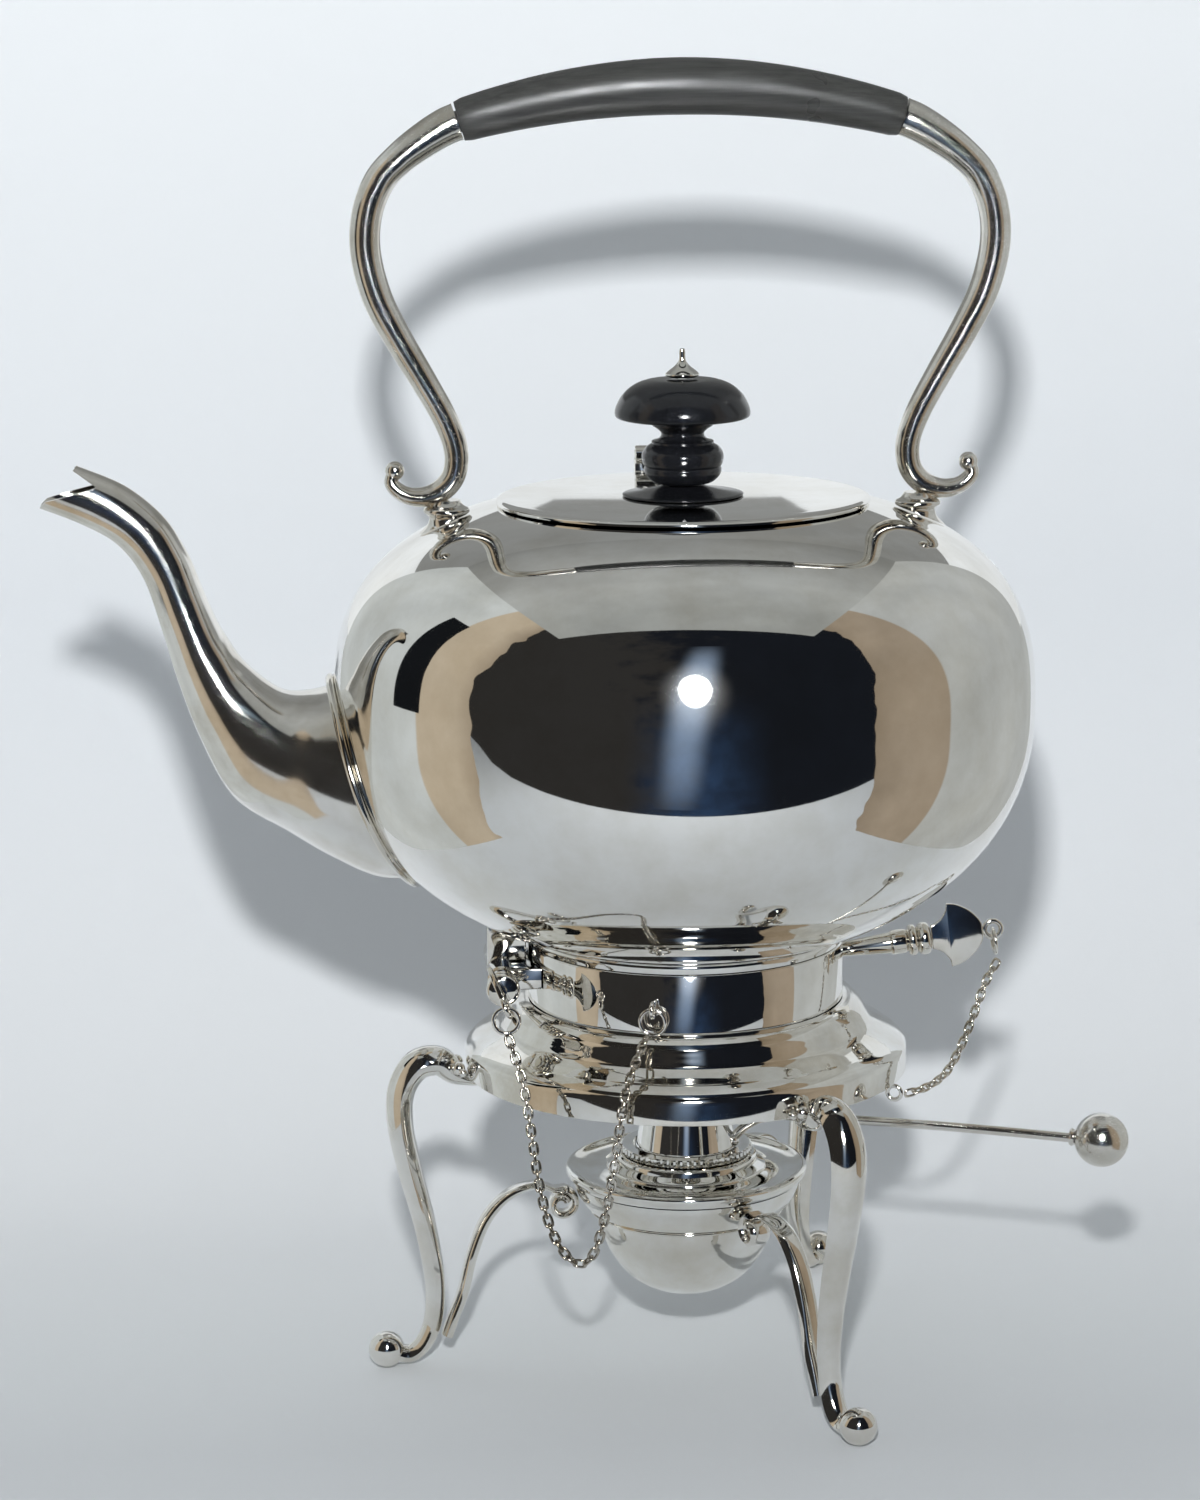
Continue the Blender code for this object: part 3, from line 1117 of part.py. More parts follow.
def make_lamp():
    outer = scaled(BOWL_SHARES, BOWL_RADIUS, BOWL_BOTTOM_Z, FLANGE_BOTTOM_Z - BOWL_BOTTOM_Z)
    outer += [(BOWL_FLAT_RADIUS, BOWL_BOTTOM_Z), (0, BOWL_BOTTOM_Z)]
    place(turned("lamp_bowl", vessel_profile(outer, BOWL_WALL), MIDDLE_SEGMENTS + 4), "lamp", SILVER)
    outer = scaled(FLANGE_SHARES, FLANGE_RADIUS, FLANGE_BOTTOM_Z, FLANGE_HEIGHT)
    place(turned("lamp_flange", sheet_profile(outer, FLANGE_WALL), BIG_SEGMENTS, closed=True), "lamp", SILVER)


def make_burner():
    bore = WICK_TUBE_RADIUS + GAP
    profile = [
        (BURNER_RECESS_RADIUS, BURNER_TOP_Z),
        (BURNER_RADIUS, BURNER_TOP_Z),
        (BURNER_RADIUS, BURNER_BOTTOM_Z),
        (bore, BURNER_BOTTOM_Z),
        (bore, BURNER_FLOOR_Z),
        (BURNER_RECESS_RADIUS, BURNER_FLOOR_Z),
    ]
    place(turned("burner_collar", profile, MIDDLE_SEGMENTS, closed=True), "burner", SILVER)
    outer = [(WICK_TUBE_RADIUS, WICK_TUBE_TOP_Z), (WICK_TUBE_RADIUS, BURNER_BOTTOM_Z - WICK_TUBE_DIP)]
    tube = turned("wick_tube", sheet_profile(outer, WICK_TUBE_WALL), SMALL_SEGMENTS, closed=True)
    place(tube, "burner", SILVER)
    wick_radius = WICK_TUBE_RADIUS - WICK_TUBE_WALL - GAP
    wick_length = WICK_TUBE_TOP_RISE + WICK_TUBE_DIP + BURNER_HEIGHT + 2 * WICK_PROUD
    wick = cylinder("wick", wick_radius, wick_length, SMALL_SEGMENTS)
    place(smooth(wick), "burner", WICK_COTTON, (0, 0, WICK_TUBE_TOP_Z + WICK_PROUD - wick_length / 2))


def make_snuffer():
    top = [
        (radius * SNUFFER_TOP_RADIUS, SNUFFER_BOTTOM_Z + rise * SNUFFER_HEIGHT)
        for radius, rise in SNUFFER_SHARES
    ]
    shoulder = (SNUFFER_TOP_RADIUS, SNUFFER_BOTTOM_Z + SNUFFER_SHOULDER_SHARE * SNUFFER_HEIGHT)
    outer = top + [shoulder, (SNUFFER_RADIUS, SNUFFER_BOTTOM_Z)]
    inner = offset_inward(outer, SNUFFER_WALL)
    inner[0] = (0, outer[0][1] - SNUFFER_WALL)
    place(turned("snuffer_cap", outer + list(reversed(inner)), MIDDLE_SEGMENTS), "snuffer", SILVER)
    points = []
    for out, up in smooth_line(ROD_SHARES, 12):
        height = SNUFFER_BOTTOM_Z + up * SNUFFER_ROD_RISE
        points.append(radial(SNUFFER_TURN, out * SNUFFER_BALL_DISTANCE, height))
    rod = to_mesh(tube("snuffer_rod", points, [SNUFFER_ROD_RADIUS] * len(points)))
    cap_clearance = turned(
        "snuffer_clearance",
        [(0, SNUFFER_TOP_Z + GAP)] + [(r + GAP, z) for r, z in outer[1:]] + [(0, SNUFFER_BOTTOM_Z)],
        MIDDLE_SEGMENTS,
    )
    boolean(rod, place_cutter(cap_clearance))
    ball_height = SNUFFER_BOTTOM_Z + ROD_SHARES[-1][1] * SNUFFER_ROD_RISE
    centre = radial(SNUFFER_TURN, SNUFFER_BALL_DISTANCE, ball_height)
    clear_ball = ball("ball_clearance", SNUFFER_BALL_RADIUS + GAP, SMALL_SEGMENTS + 2, 10)
    knob_clearance = place_cutter(clear_ball, centre)
    boolean(rod, knob_clearance)
    place(smooth(rod), "snuffer", SILVER)
    place(ball("snuffer_ball", SNUFFER_BALL_RADIUS, MIDDLE_SEGMENTS - 4, 10), "snuffer", SILVER, centre)


make_collar()
make_gallery()
make_legs()
make_straps()
make_lamp_ring()
make_front_hinge()
make_kettle_body()
make_kettle_foot()
make_spout()
make_seam_bead()
make_lid()
make_knob()
make_lid_hinge()
make_handle()
make_chains(*make_pins())
make_lamp()
make_burner()
make_snuffer()
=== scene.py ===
import math

import bmesh
import bpy
from mathutils import Matrix, Vector


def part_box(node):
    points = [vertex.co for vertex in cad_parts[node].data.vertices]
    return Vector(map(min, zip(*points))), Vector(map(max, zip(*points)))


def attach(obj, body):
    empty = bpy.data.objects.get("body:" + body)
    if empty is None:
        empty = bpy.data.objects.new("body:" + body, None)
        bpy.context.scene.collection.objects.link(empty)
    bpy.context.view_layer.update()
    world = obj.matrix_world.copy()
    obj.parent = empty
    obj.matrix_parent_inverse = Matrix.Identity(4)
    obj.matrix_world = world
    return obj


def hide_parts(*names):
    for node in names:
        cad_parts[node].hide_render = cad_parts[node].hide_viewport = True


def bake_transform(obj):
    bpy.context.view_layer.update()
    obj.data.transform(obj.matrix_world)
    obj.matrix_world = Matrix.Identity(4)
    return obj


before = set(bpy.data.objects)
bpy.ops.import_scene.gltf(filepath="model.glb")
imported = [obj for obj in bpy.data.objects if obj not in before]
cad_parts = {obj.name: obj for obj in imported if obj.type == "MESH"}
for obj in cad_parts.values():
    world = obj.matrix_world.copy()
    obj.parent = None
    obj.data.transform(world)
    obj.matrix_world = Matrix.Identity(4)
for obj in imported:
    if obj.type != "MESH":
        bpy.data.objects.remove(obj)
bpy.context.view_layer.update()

mm = 0.001
collarLow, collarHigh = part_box("stand_collar")
axisX = (collarLow.x + collarHigh.x) / 2      # the kettle's own axis, in the row frame
upright = Vector((0, 0, 1))


def at(x, y, z):
    return Vector((axisX + x * mm, y * mm, z * mm))


# the camera looks along +Y, a little from the left and from above
cameraValues = {"lens": 96, "yaw": 3.5, "pitch": 11.6, "roll": 0.52, "place": (-20.25, -943.3, 346.1)}


def makeCamera(values):
    data = bpy.data.cameras.new("photoCamera")
    data.lens = values["lens"]
    data.sensor_width = 36
    data.clip_start = 0.01
    camera = bpy.data.objects.new("photoCamera", data)
    bpy.context.scene.collection.objects.link(camera)
    yaw = Matrix.Rotation(-math.radians(values["yaw"]), 4, "Z")
    pitch = Matrix.Rotation(math.radians(90 - values["pitch"]), 4, "X")
    roll = Matrix.Rotation(-math.radians(values["roll"]), 4, "Z")
    place = yaw @ (Vector(values["place"]) * mm) + Vector((axisX, 0, 0))
    camera.matrix_world = Matrix.Translation(place) @ yaw @ pitch @ roll
    bpy.context.scene.camera = camera


makeCamera(cameraValues)
bpy.context.scene.view_settings.view_transform = "Standard"
print("camera set")


def linear(hexColour):
    parts = [int(hexColour[i:i + 2], 16) / 255 for i in (1, 3, 5)]
    return tuple(c / 12.92 if c <= 0.04045 else ((c + 0.055) / 1.055) ** 2.4 for c in parts) + (1,)


def addNode(tree, kind, settings=None, inputs=None):
    node = tree.nodes.new(kind)
    for key, value in (settings or {}).items():
        setattr(node, key, value)
    for key, value in (inputs or {}).items():
        if isinstance(value, bpy.types.NodeSocket):
            tree.links.new(value, node.inputs[key])
        else:
            node.inputs[key].default_value = value
    return node


def newMaterial(name):
    material = bpy.data.materials.new(name)
    material.use_nodes = True
    tree = material.node_tree
    tree.nodes.clear()
    shader = addNode(tree, "ShaderNodeBsdfPrincipled")
    addNode(tree, "ShaderNodeOutputMaterial", None, {"Surface": shader.outputs[0]})
    return material, tree, shader


def setRamp(node, stops):
    ramp = node.color_ramp
    while len(ramp.elements) < len(stops):
        ramp.elements.new(0.5)
    for element, (place, hexColour) in zip(ramp.elements, stops):
        element.position = place
        element.color = linear(hexColour)


# Sterling silver, raised or cast, then buffed: a clear mirror with a warm cast, long soft waves
# left by the hammer, and the hairlines of a century of polishing cloths.
silverKinds = {
    "raisedSilver": {"bright": "#F4F3F0", "dull": "#E6E3DC", "waveMm": 26, "wave": 0.020, "smooth": 0.030, "worn": 0.085},
    "turnedSilver": {"bright": "#F2F1ED", "dull": "#DED9CE", "waveMm": 14, "wave": 0.010, "smooth": 0.035, "worn": 0.100},
    "castSilver": {"bright": "#EFEDE8", "dull": "#D8D2C6", "waveMm": 7, "wave": 0.018, "smooth": 0.060, "worn": 0.160},
    "handledSilver": {"bright": "#F0EEEA", "dull": "#D9D4CA", "waveMm": 9, "wave": 0.020, "smooth": 0.120, "worn": 0.260},
    "wornSilver": {"bright": "#EDEBE6", "dull": "#CFC9BD", "waveMm": 5, "wave": 0.030, "smooth": 0.170, "worn": 0.330},
    "chainSilver": {"bright": "#D9D4CA", "dull": "#8E8678", "waveMm": 2, "wave": 0.015, "smooth": 0.140, "worn": 0.300},
}


def makeSilver(name, values):
    material, tree, shader = newMaterial(name)
    coords = addNode(tree, "ShaderNodeTexCoord").outputs["Object"]
    waves = addNode(tree, "ShaderNodeTexNoise", {"noise_dimensions": "3D"}, {
        "Vector": coords, "Scale": 1 / (values["waveMm"] * mm), "Detail": 1.0})
    cloud = addNode(tree, "ShaderNodeTexNoise", None, {"Vector": coords, "Scale": 45.0, "Detail": 5.0, "Roughness": 0.62})
    tint = addNode(tree, "ShaderNodeValToRGB", None, {0: cloud.outputs[0]})
    setRamp(tint, ((0.34, values["dull"]), (0.60, values["bright"])))
    # hairlines 0.1 mm wide and 10 mm long, in two directions
    hairs = []
    for turn in ((0.3, 0.5, 0.2), (-0.5, 0.2, 1.3)):
        laid = addNode(tree, "ShaderNodeMapping", None, {"Vector": coords, "Rotation": turn, "Scale": (90, 6000, 6000)})
        hair = addNode(tree, "ShaderNodeTexNoise", None, {"Vector": laid.outputs[0], "Scale": 1.0, "Detail": 2.0})
        hairs.append(hair.outputs[0])
    both = addNode(tree, "ShaderNodeMath", {"operation": "MAXIMUM"}, {0: hairs[0], 1: hairs[1]})
    scratched = addNode(tree, "ShaderNodeMapRange", None, {
        "Value": both.outputs[0], "From Min": 0.60, "From Max": 0.74, "To Min": 0.0, "To Max": 1.0})
    patchy = addNode(tree, "ShaderNodeMath", {"operation": "MULTIPLY"}, {0: scratched.outputs[0], 1: cloud.outputs[0]})
    rough = addNode(tree, "ShaderNodeMapRange", None, {
        "Value": patchy.outputs[0], "From Max": 0.6, "To Min": values["smooth"], "To Max": values["worn"]})
    bump = addNode(tree, "ShaderNodeBump", None, {
        "Strength": 1.0, "Distance": values["wave"] * mm, "Height": waves.outputs[0]})
    tree.links.new(tint.outputs[0], shader.inputs["Base Color"])
    tree.links.new(rough.outputs[0], shader.inputs["Roughness"])
    tree.links.new(bump.outputs[0], shader.inputs["Normal"])
    shader.inputs["Metallic"].default_value = 1
    return material


silver = {name: makeSilver(name, values) for name, values in silverKinds.items()}

# Ebony, turned and hand-filed: near black. The grip has gone grey and satin with handling, its
# pores showing as fine dashes along the grain. The knob keeps its french polish.
ebonyKinds = {
    "handledEbony": {"dark": "#262626", "light": "#464745", "grain": (45, 1300, 1300), "low": 0.21, "high": 0.44, "pore": 0.055},
    "polishedEbony": {"dark": "#121316", "light": "#1E2024", "grain": (900, 900, 120), "low": 0.10, "high": 0.24, "pore": 0.008},
}


def makeEbony(name, values):
    material, tree, shader = newMaterial(name)
    coords = addNode(tree, "ShaderNodeTexCoord").outputs["Object"]
    along = addNode(tree, "ShaderNodeMapping", None, {"Vector": coords, "Scale": values["grain"]})
    grain = addNode(tree, "ShaderNodeTexNoise", None, {
        "Vector": along.outputs[0], "Scale": 1.0, "Detail": 6.0, "Roughness": 0.7, "Distortion": 0.3})
    tint = addNode(tree, "ShaderNodeValToRGB", None, {0: grain.outputs[0]})
    setRamp(tint, ((0.30, values["dark"]), (0.72, values["light"])))
    handling = addNode(tree, "ShaderNodeTexNoise", None, {"Vector": coords, "Scale": 60.0, "Detail": 3.0})
    rough = addNode(tree, "ShaderNodeMapRange", None, {
        "Value": handling.outputs[0], "From Min": 0.3, "From Max": 0.7, "To Min": values["low"], "To Max": values["high"]})
    bump = addNode(tree, "ShaderNodeBump", None, {
        "Strength": 0.6, "Distance": values["pore"] * mm, "Height": grain.outputs[0]})
    tree.links.new(tint.outputs[0], shader.inputs["Base Color"])
    tree.links.new(rough.outputs[0], shader.inputs["Roughness"])
    tree.links.new(bump.outputs[0], shader.inputs["Normal"])
    shader.inputs["IOR"].default_value = 1.52
    return material


ebony = {name: makeEbony(name, values) for name, values in ebonyKinds.items()}


def makeWickCotton():
    material, tree, shader = newMaterial("wickCotton")
    coords = addNode(tree, "ShaderNodeTexCoord").outputs["Object"]
    # plaited strands about 0.8 mm wide
    strands = addNode(tree, "ShaderNodeTexWave", {"bands_direction": "DIAGONAL"}, {
        "Vector": coords, "Scale": 400.0, "Distortion": 1.5, "Detail": 2.0})
    tint = addNode(tree, "ShaderNodeValToRGB", None, {0: strands.outputs[0]})
    setRamp(tint, ((0.0, "#8F8572"), (1.0, "#DAD3C2")))
    bump = addNode(tree, "ShaderNodeBump", None, {"Distance": 0.2 * mm, "Height": strands.outputs[0]})
    tree.links.new(tint.outputs[0], shader.inputs["Base Color"])
    tree.links.new(bump.outputs[0], shader.inputs["Normal"])
    shader.inputs["Roughness"].default_value = 0.9
    return material


wickCotton = makeWickCotton()
print("materials made")


# the pale paper sweep under and behind the kettle. Its colour has the fall of the light painted in: darker at the front
# of the floor, lighter up the wall
sweepValues = {
    "front": -0.34, "bend": 0.09, "wall": 0.235, "height": 1.7, "halfWidth": 2.8, "farFront": -4.0,
    "stops": ((0.0, "#BDC1C4"), (0.29, "#C6CACD"), (0.36, "#D2D6D8"), (0.44, "#E0E3E5"), (0.74, "#E2E6EA"), (0.91, "#F2F6F9")),
}


def makePaper(values):
    material, tree, shader = newMaterial("sweepPaper")
    coords = addNode(tree, "ShaderNodeTexCoord").outputs["Object"]
    parts = addNode(tree, "ShaderNodeSeparateXYZ", None, {0: coords})
    # painted light: the colour darkens towards the front of the floor and brightens up the wall
    total = addNode(tree, "ShaderNodeMath", {"operation": "ADD"}, {0: parts.outputs["Y"], 1: parts.outputs["Z"]})
    share = addNode(tree, "ShaderNodeMapRange", None, {"Value": total.outputs[0], "From Min": -0.35, "From Max": 0.65})
    tint = addNode(tree, "ShaderNodeValToRGB", None, {0: share.outputs[0]})
    setRamp(tint, values["stops"])
    tooth = addNode(tree, "ShaderNodeTexNoise", None, {"Vector": coords, "Scale": 1200.0, "Detail": 3.0})
    bump = addNode(tree, "ShaderNodeBump", None, {"Strength": 0.3, "Distance": 0.05 * mm, "Height": tooth.outputs[0]})
    tree.links.new(tint.outputs[0], shader.inputs["Base Color"])
    tree.links.new(bump.outputs[0], shader.inputs["Normal"])
    shader.inputs["Roughness"].default_value = 0.75
    shader.inputs["Specular IOR Level"].default_value = 0.15
    # the back of the sheet is clear, so that views from behind see through it
    clear = addNode(tree, "ShaderNodeBsdfTransparent")
    facing = addNode(tree, "ShaderNodeNewGeometry")
    mixed = addNode(tree, "ShaderNodeMixShader", None, {
        0: facing.outputs["Backfacing"], 1: shader.outputs[0], 2: clear.outputs[0]})
    output = [node for node in tree.nodes if node.type == "OUTPUT_MATERIAL"][0]
    tree.links.new(mixed.outputs[0], output.inputs["Surface"])
    return material


def makeSheetOfPaper(name, line, halfWidth, material):
    build = bmesh.new()
    verts = [build.verts.new((-halfWidth + axisX, y, z)) for y, z in line]
    edges = [build.edges.new(pair) for pair in zip(verts, verts[1:])]
    made = bmesh.ops.extrude_edge_only(build, edges=edges)
    moved = [item for item in made["geom"] if isinstance(item, bmesh.types.BMVert)]
    bmesh.ops.translate(build, verts=moved, vec=(2 * halfWidth, 0, 0))
    for face in build.faces:
        face.smooth = True
    build.normal_update()
    if build.faces[:][0].normal.z < 0:
        bmesh.ops.reverse_faces(build, faces=build.faces)
    mesh = bpy.data.meshes.new(name)
    build.to_mesh(mesh)
    build.free()
    sheet = bpy.data.objects.new(name, mesh)
    bpy.context.scene.collection.objects.link(sheet)
    mesh.materials.append(material)
    return sheet


def makeStage(values):
    paper = makePaper(values)
    bendRadius = values["wall"] - values["bend"]
    line = [(values["front"], 0), (values["bend"], 0)]
    steps = 24
    for step in range(1, steps + 1):
        turn = math.pi / 2 * step / steps
        line.append((values["bend"] + bendRadius * math.sin(turn), bendRadius * (1 - math.cos(turn))))
    line.append((values["wall"], values["height"]))
    makeSheetOfPaper("sweep", line, values["halfWidth"], paper)
    far = makeSheetOfPaper("farFloor", [(values["farFront"], 0), (values["front"], 0)], values["halfWidth"], paper)
    far.visible_glossy = False


makeStage(sweepValues)

# a small flash head above the camera; the tent's own soft light comes from the world
lampValues = {
    "flash": {"place": (-95, -945, 522), "target": (0, 0, 160), "size": 0.038, "watts": 9.0},
}


def addLamp(name, values):
    data = bpy.data.lights.new(name, "AREA")
    data.size = values["size"]
    data.energy = values["watts"]
    lamp = bpy.data.objects.new(name, data)
    lamp.visible_glossy = False
    bpy.context.scene.collection.objects.link(lamp)
    place = at(*values["place"])
    aim = (at(*values["target"]) - place).to_track_quat("-Z", "Y")
    lamp.matrix_world = Matrix.Translation(place) @ aim.to_matrix().to_4x4()


for lampName, values in lampValues.items():
    addLamp(lampName, values)

# what a mirror sees: a tent of white cloth that only mirrors see, open at the front, with card
# edges beside the opening and the dark room beyond it. Lengths in mm, square to the camera.
# The cloth's light and shade are painted into its colours: the right wall darker than the left, the roof darker at its
# front edge and at the back, the rear a bright sheet just in front of the paper wall with a darker band high above it,
# the card darker at its front edge, and the folds a shade lighter and darker.
tentValues = {
    "turn": -3.5, "half": 205, "frontLeft": -122, "frontRight": -146, "back": 233, "top": 440, "roofFront": -183,
    "cardEnd": (-38, -50), "gap": (-46, -4, 160, 320), "torn": 20,
    "cloth": "#C3C8C8", "clothRight": "#B3B6B5", "roofEdge": "#9DA09E", "roof": "#ACAFAE", "roofBack": "#7E807F",
    "rear": "#ECF0F2", "rearHigh": "#8C8E8D", "rearLine": (33, 244.5, 330),
    "card": "#B9AC98", "cardRight": "#9D907F", "cardShade": "#8B7E6D", "dark": "#15171A",
}
flashValues = {"place": (-19, -945, 522), "half": 820, "core": 0.038, "tall": 0.46, "bright": 130.0, "halo": 0.35,
               "haloReach": 0.14, "streak": 0.85, "wide": 0.10, "lean": 0.13, "colour": "#FBFDFF",
               "streakColour": "#9FB4D0"}
roomValues = {"left": "#2E2D2C", "right": "#171A20", "low": "#2B3D58", "seen": "#E9EEF2", "soft": "#F4F7FA",
              "ambient": 0.345}


def squared(values, x, y, z):
    turned = Matrix.Rotation(math.radians(values["turn"]), 4, "Z") @ (Vector((x, y, z)) * mm)
    return turned + Vector((axisX, 0, 0))


def mirrorOnly(name, corners, material):
    build = bmesh.new()
    face = build.faces.new([build.verts.new(corner) for corner in corners])
    spread = build.loops.layers.uv.new("spread")
    for corner, place in zip(face.loops, ((0, 0), (1, 0), (1, 1), (0, 1))):
        corner[spread].uv = place
    mesh = bpy.data.meshes.new(name)
    build.to_mesh(mesh)
    build.free()
    panel = bpy.data.objects.new(name, mesh)
    bpy.context.scene.collection.objects.link(panel)
    mesh.materials.append(material)
    panel.visible_camera = False
    panel.visible_diffuse = False
    panel.visible_shadow = False
    panel.visible_transmission = False


def glowTree(name):
    material = bpy.data.materials.new(name)
    material.use_nodes = True
    tree = material.node_tree
    tree.nodes.clear()
    return material, tree


def makeTentCloth(name, length, stops, torn):
    # cloth along a panel: stops in mm from its front edge, which is torn when asked
    material, tree = glowTree(name)
    coords = addNode(tree, "ShaderNodeTexCoord")
    parts = addNode(tree, "ShaderNodeSeparateXYZ", None, {0: coords.outputs["UV"]})
    ragged = addNode(tree, "ShaderNodeTexNoise", None, {"Vector": coords.outputs["Object"], "Scale": 7.0, "Detail": 3.0})
    wander = addNode(tree, "ShaderNodeMapRange", None, {
        "Value": ragged.outputs[0], "From Min": 0.3, "From Max": 0.7, "To Min": -torn / length, "To Max": torn / length})
    place = addNode(tree, "ShaderNodeMath", {"operation": "ADD"}, {0: parts.outputs["X"], 1: wander.outputs[0]})
    tint = addNode(tree, "ShaderNodeValToRGB", None, {0: parts.outputs["X"]})
    setRamp(tint, [(spot / length, hexColour) for spot, hexColour in stops])
    fold = addNode(tree, "ShaderNodeTexNoise", None, {"Vector": coords.outputs["Object"], "Scale": 9.0, "Detail": 3.0})
    shade = addNode(tree, "ShaderNodeMapRange", None, {
        "Value": fold.outputs[0], "From Min": 0.35, "From Max": 0.65, "To Min": 0.90, "To Max": 1.07})
    glow = addNode(tree, "ShaderNodeEmission", None, {"Color": tint.outputs[0], "Strength": shade.outputs[0]})
    clear = addNode(tree, "ShaderNodeBsdfTransparent")
    kept = addNode(tree, "ShaderNodeMath", {"operation": "GREATER_THAN"}, {0: place.outputs[0], 1: torn / length})
    mixed = addNode(tree, "ShaderNodeMixShader", None, {0: kept.outputs[0], 1: clear.outputs[0], 2: glow.outputs[0]})
    addNode(tree, "ShaderNodeOutputMaterial", None, {"Surface": mixed.outputs[0]})
    return material


def makeTent(values):
    half, back, top, torn = values["half"], values["back"], values["top"], values["torn"]
    sides = (("tentLeft", -half, values["frontLeft"], values["cardEnd"][0], values["card"], values["cloth"]),
             ("tentRight", half, values["frontRight"], values["cardEnd"][1], values["cardRight"], values["clothRight"]))
    for name, x, front, cardEnd, card, cloth in sides:
        start = front - torn
        cardLength = cardEnd - start
        stops = ((0, values["cardShade"]), (0.45 * cardLength, card), (cardLength - 2, card), (cardLength, cloth),
                 (back - start, cloth))
        corners = [squared(values, x, y, z) for y, z in ((start, 0), (back, 0), (back, top), (start, top))]
        mirrorOnly(name, corners, makeTentCloth(name, back - start, stops, torn))
    low, high, bottom, ceiling = values["gap"]
    corners = [squared(values, 1 - half, y, z) for y, z in ((low, bottom), (high, bottom), (high, ceiling), (low, ceiling))]
    mirrorOnly("tentGap", corners, makeTentCloth("tentGap", high - low, ((0, values["dark"]), (1, values["dark"])), 3))
    start = values["roofFront"]
    corners = [squared(values, x, y, top) for x, y in ((-half, start), (-half, back), (half, back), (half, start))]
    stops = ((0, values["roofEdge"]), (0.4 * -start, values["roofEdge"]), (-start, values["roof"]),
             (back - start, values["roofBack"]))
    mirrorOnly("tentRoof", corners, makeTentCloth("tentRoof", back - start, stops, 1))
    sag, low, high = values["rearLine"]
    rear = (("tentRear", -sag, sag, low, low, values["rear"]), ("tentRearLeft", -half, -sag, high, low, values["rear"]),
            ("tentRearRight", sag, half, low, high, values["rear"]), ("tentRearHigh", -half, half, top, top, values["rearHigh"]))
    for name, first, last, firstHigh, lastHigh, tint in rear:
        y = back - (21 if name == "tentRearHigh" else 22)
        ends = ((first, 178), (last, 178), (last, lastHigh), (first, firstHigh))
        corners = [squared(values, x, y, z) for x, z in ends]
        mirrorOnly(name, corners, makeTentCloth(name, last - first, ((0, tint), (1, tint)), 0))


makeTent(tentValues)


def makeFlashGlow(values):
    # the flash as polished silver shows it, painted on a panel that only mirrors see and set to the right of the lamp
    # that casts the shadows: a hot core, a painted halo, and a painted pale upright streak that stands in for the light
    # the hairlines spread
    material, tree = glowTree("flashGlow")
    coords = addNode(tree, "ShaderNodeTexCoord").outputs["UV"]
    centred = addNode(tree, "ShaderNodeMapping", None, {"Vector": coords, "Location": (-0.5, -0.5, 0)})
    far = addNode(tree, "ShaderNodeVectorMath", {"operation": "LENGTH"}, {0: centred.outputs[0]}).outputs["Value"]
    squat = addNode(tree, "ShaderNodeVectorMath", {"operation": "MULTIPLY"}, {
        0: centred.outputs[0], 1: (1, values["tall"], 1)})
    near = addNode(tree, "ShaderNodeVectorMath", {"operation": "LENGTH"}, {0: squat.outputs[0]}).outputs["Value"]
    core = addNode(tree, "ShaderNodeMapRange", {"interpolation_type": "SMOOTHERSTEP"}, {
        "Value": near, "From Min": 0.35 * values["core"], "From Max": 1.5 * values["core"],
        "To Min": values["bright"], "To Max": 0.0})
    halo = addNode(tree, "ShaderNodeMapRange", {"interpolation_type": "SMOOTHERSTEP"}, {
        "Value": near, "From Max": values["haloReach"], "To Min": values["halo"], "To Max": 0.0})
    core = addNode(tree, "ShaderNodeMath", {"operation": "ADD"}, {0: core.outputs[0], 1: halo.outputs[0]})
    parts = addNode(tree, "ShaderNodeSeparateXYZ", None, {0: centred.outputs[0]})
    lean = addNode(tree, "ShaderNodeMath", {"operation": "MULTIPLY"}, {0: parts.outputs["Y"], 1: -values["lean"]})
    across = addNode(tree, "ShaderNodeMath", {"operation": "ADD"}, {0: parts.outputs["X"], 1: lean.outputs[0]})
    aside = addNode(tree, "ShaderNodeMath", {"operation": "ABSOLUTE"}, {0: across.outputs[0]})
    line = addNode(tree, "ShaderNodeMapRange", {"interpolation_type": "SMOOTHERSTEP"}, {
        "Value": aside.outputs[0], "From Max": values["wide"], "To Min": values["streak"], "To Max": 0.0})
    fade = addNode(tree, "ShaderNodeMapRange", {"interpolation_type": "SMOOTHSTEP"}, {
        "Value": far, "From Min": 0.02, "From Max": 0.62, "To Min": 1.0, "To Max": 0.0})
    streak = addNode(tree, "ShaderNodeMath", {"operation": "MULTIPLY"}, {0: line.outputs[0], 1: fade.outputs[0]})
    hot = addNode(tree, "ShaderNodeEmission", None, {"Color": linear(values["colour"]), "Strength": core.outputs[0]})
    pale = addNode(tree, "ShaderNodeEmission", None, {
        "Color": linear(values["streakColour"]), "Strength": streak.outputs[0]})
    clear = addNode(tree, "ShaderNodeBsdfTransparent")
    total = addNode(tree, "ShaderNodeAddShader", None, {0: hot.outputs[0], 1: pale.outputs[0]})
    total = addNode(tree, "ShaderNodeAddShader", None, {0: total.outputs[0], 1: clear.outputs[0]})
    addNode(tree, "ShaderNodeOutputMaterial", None, {"Surface": total.outputs[0]})
    x, y, z = values["place"]
    half = values["half"]
    mirrorOnly("flashGlow", [at(x + a * half, y, z + b * half) for a, b in ((-1, -1), (1, -1), (1, 1), (-1, 1))], material)


makeFlashGlow(flashValues)


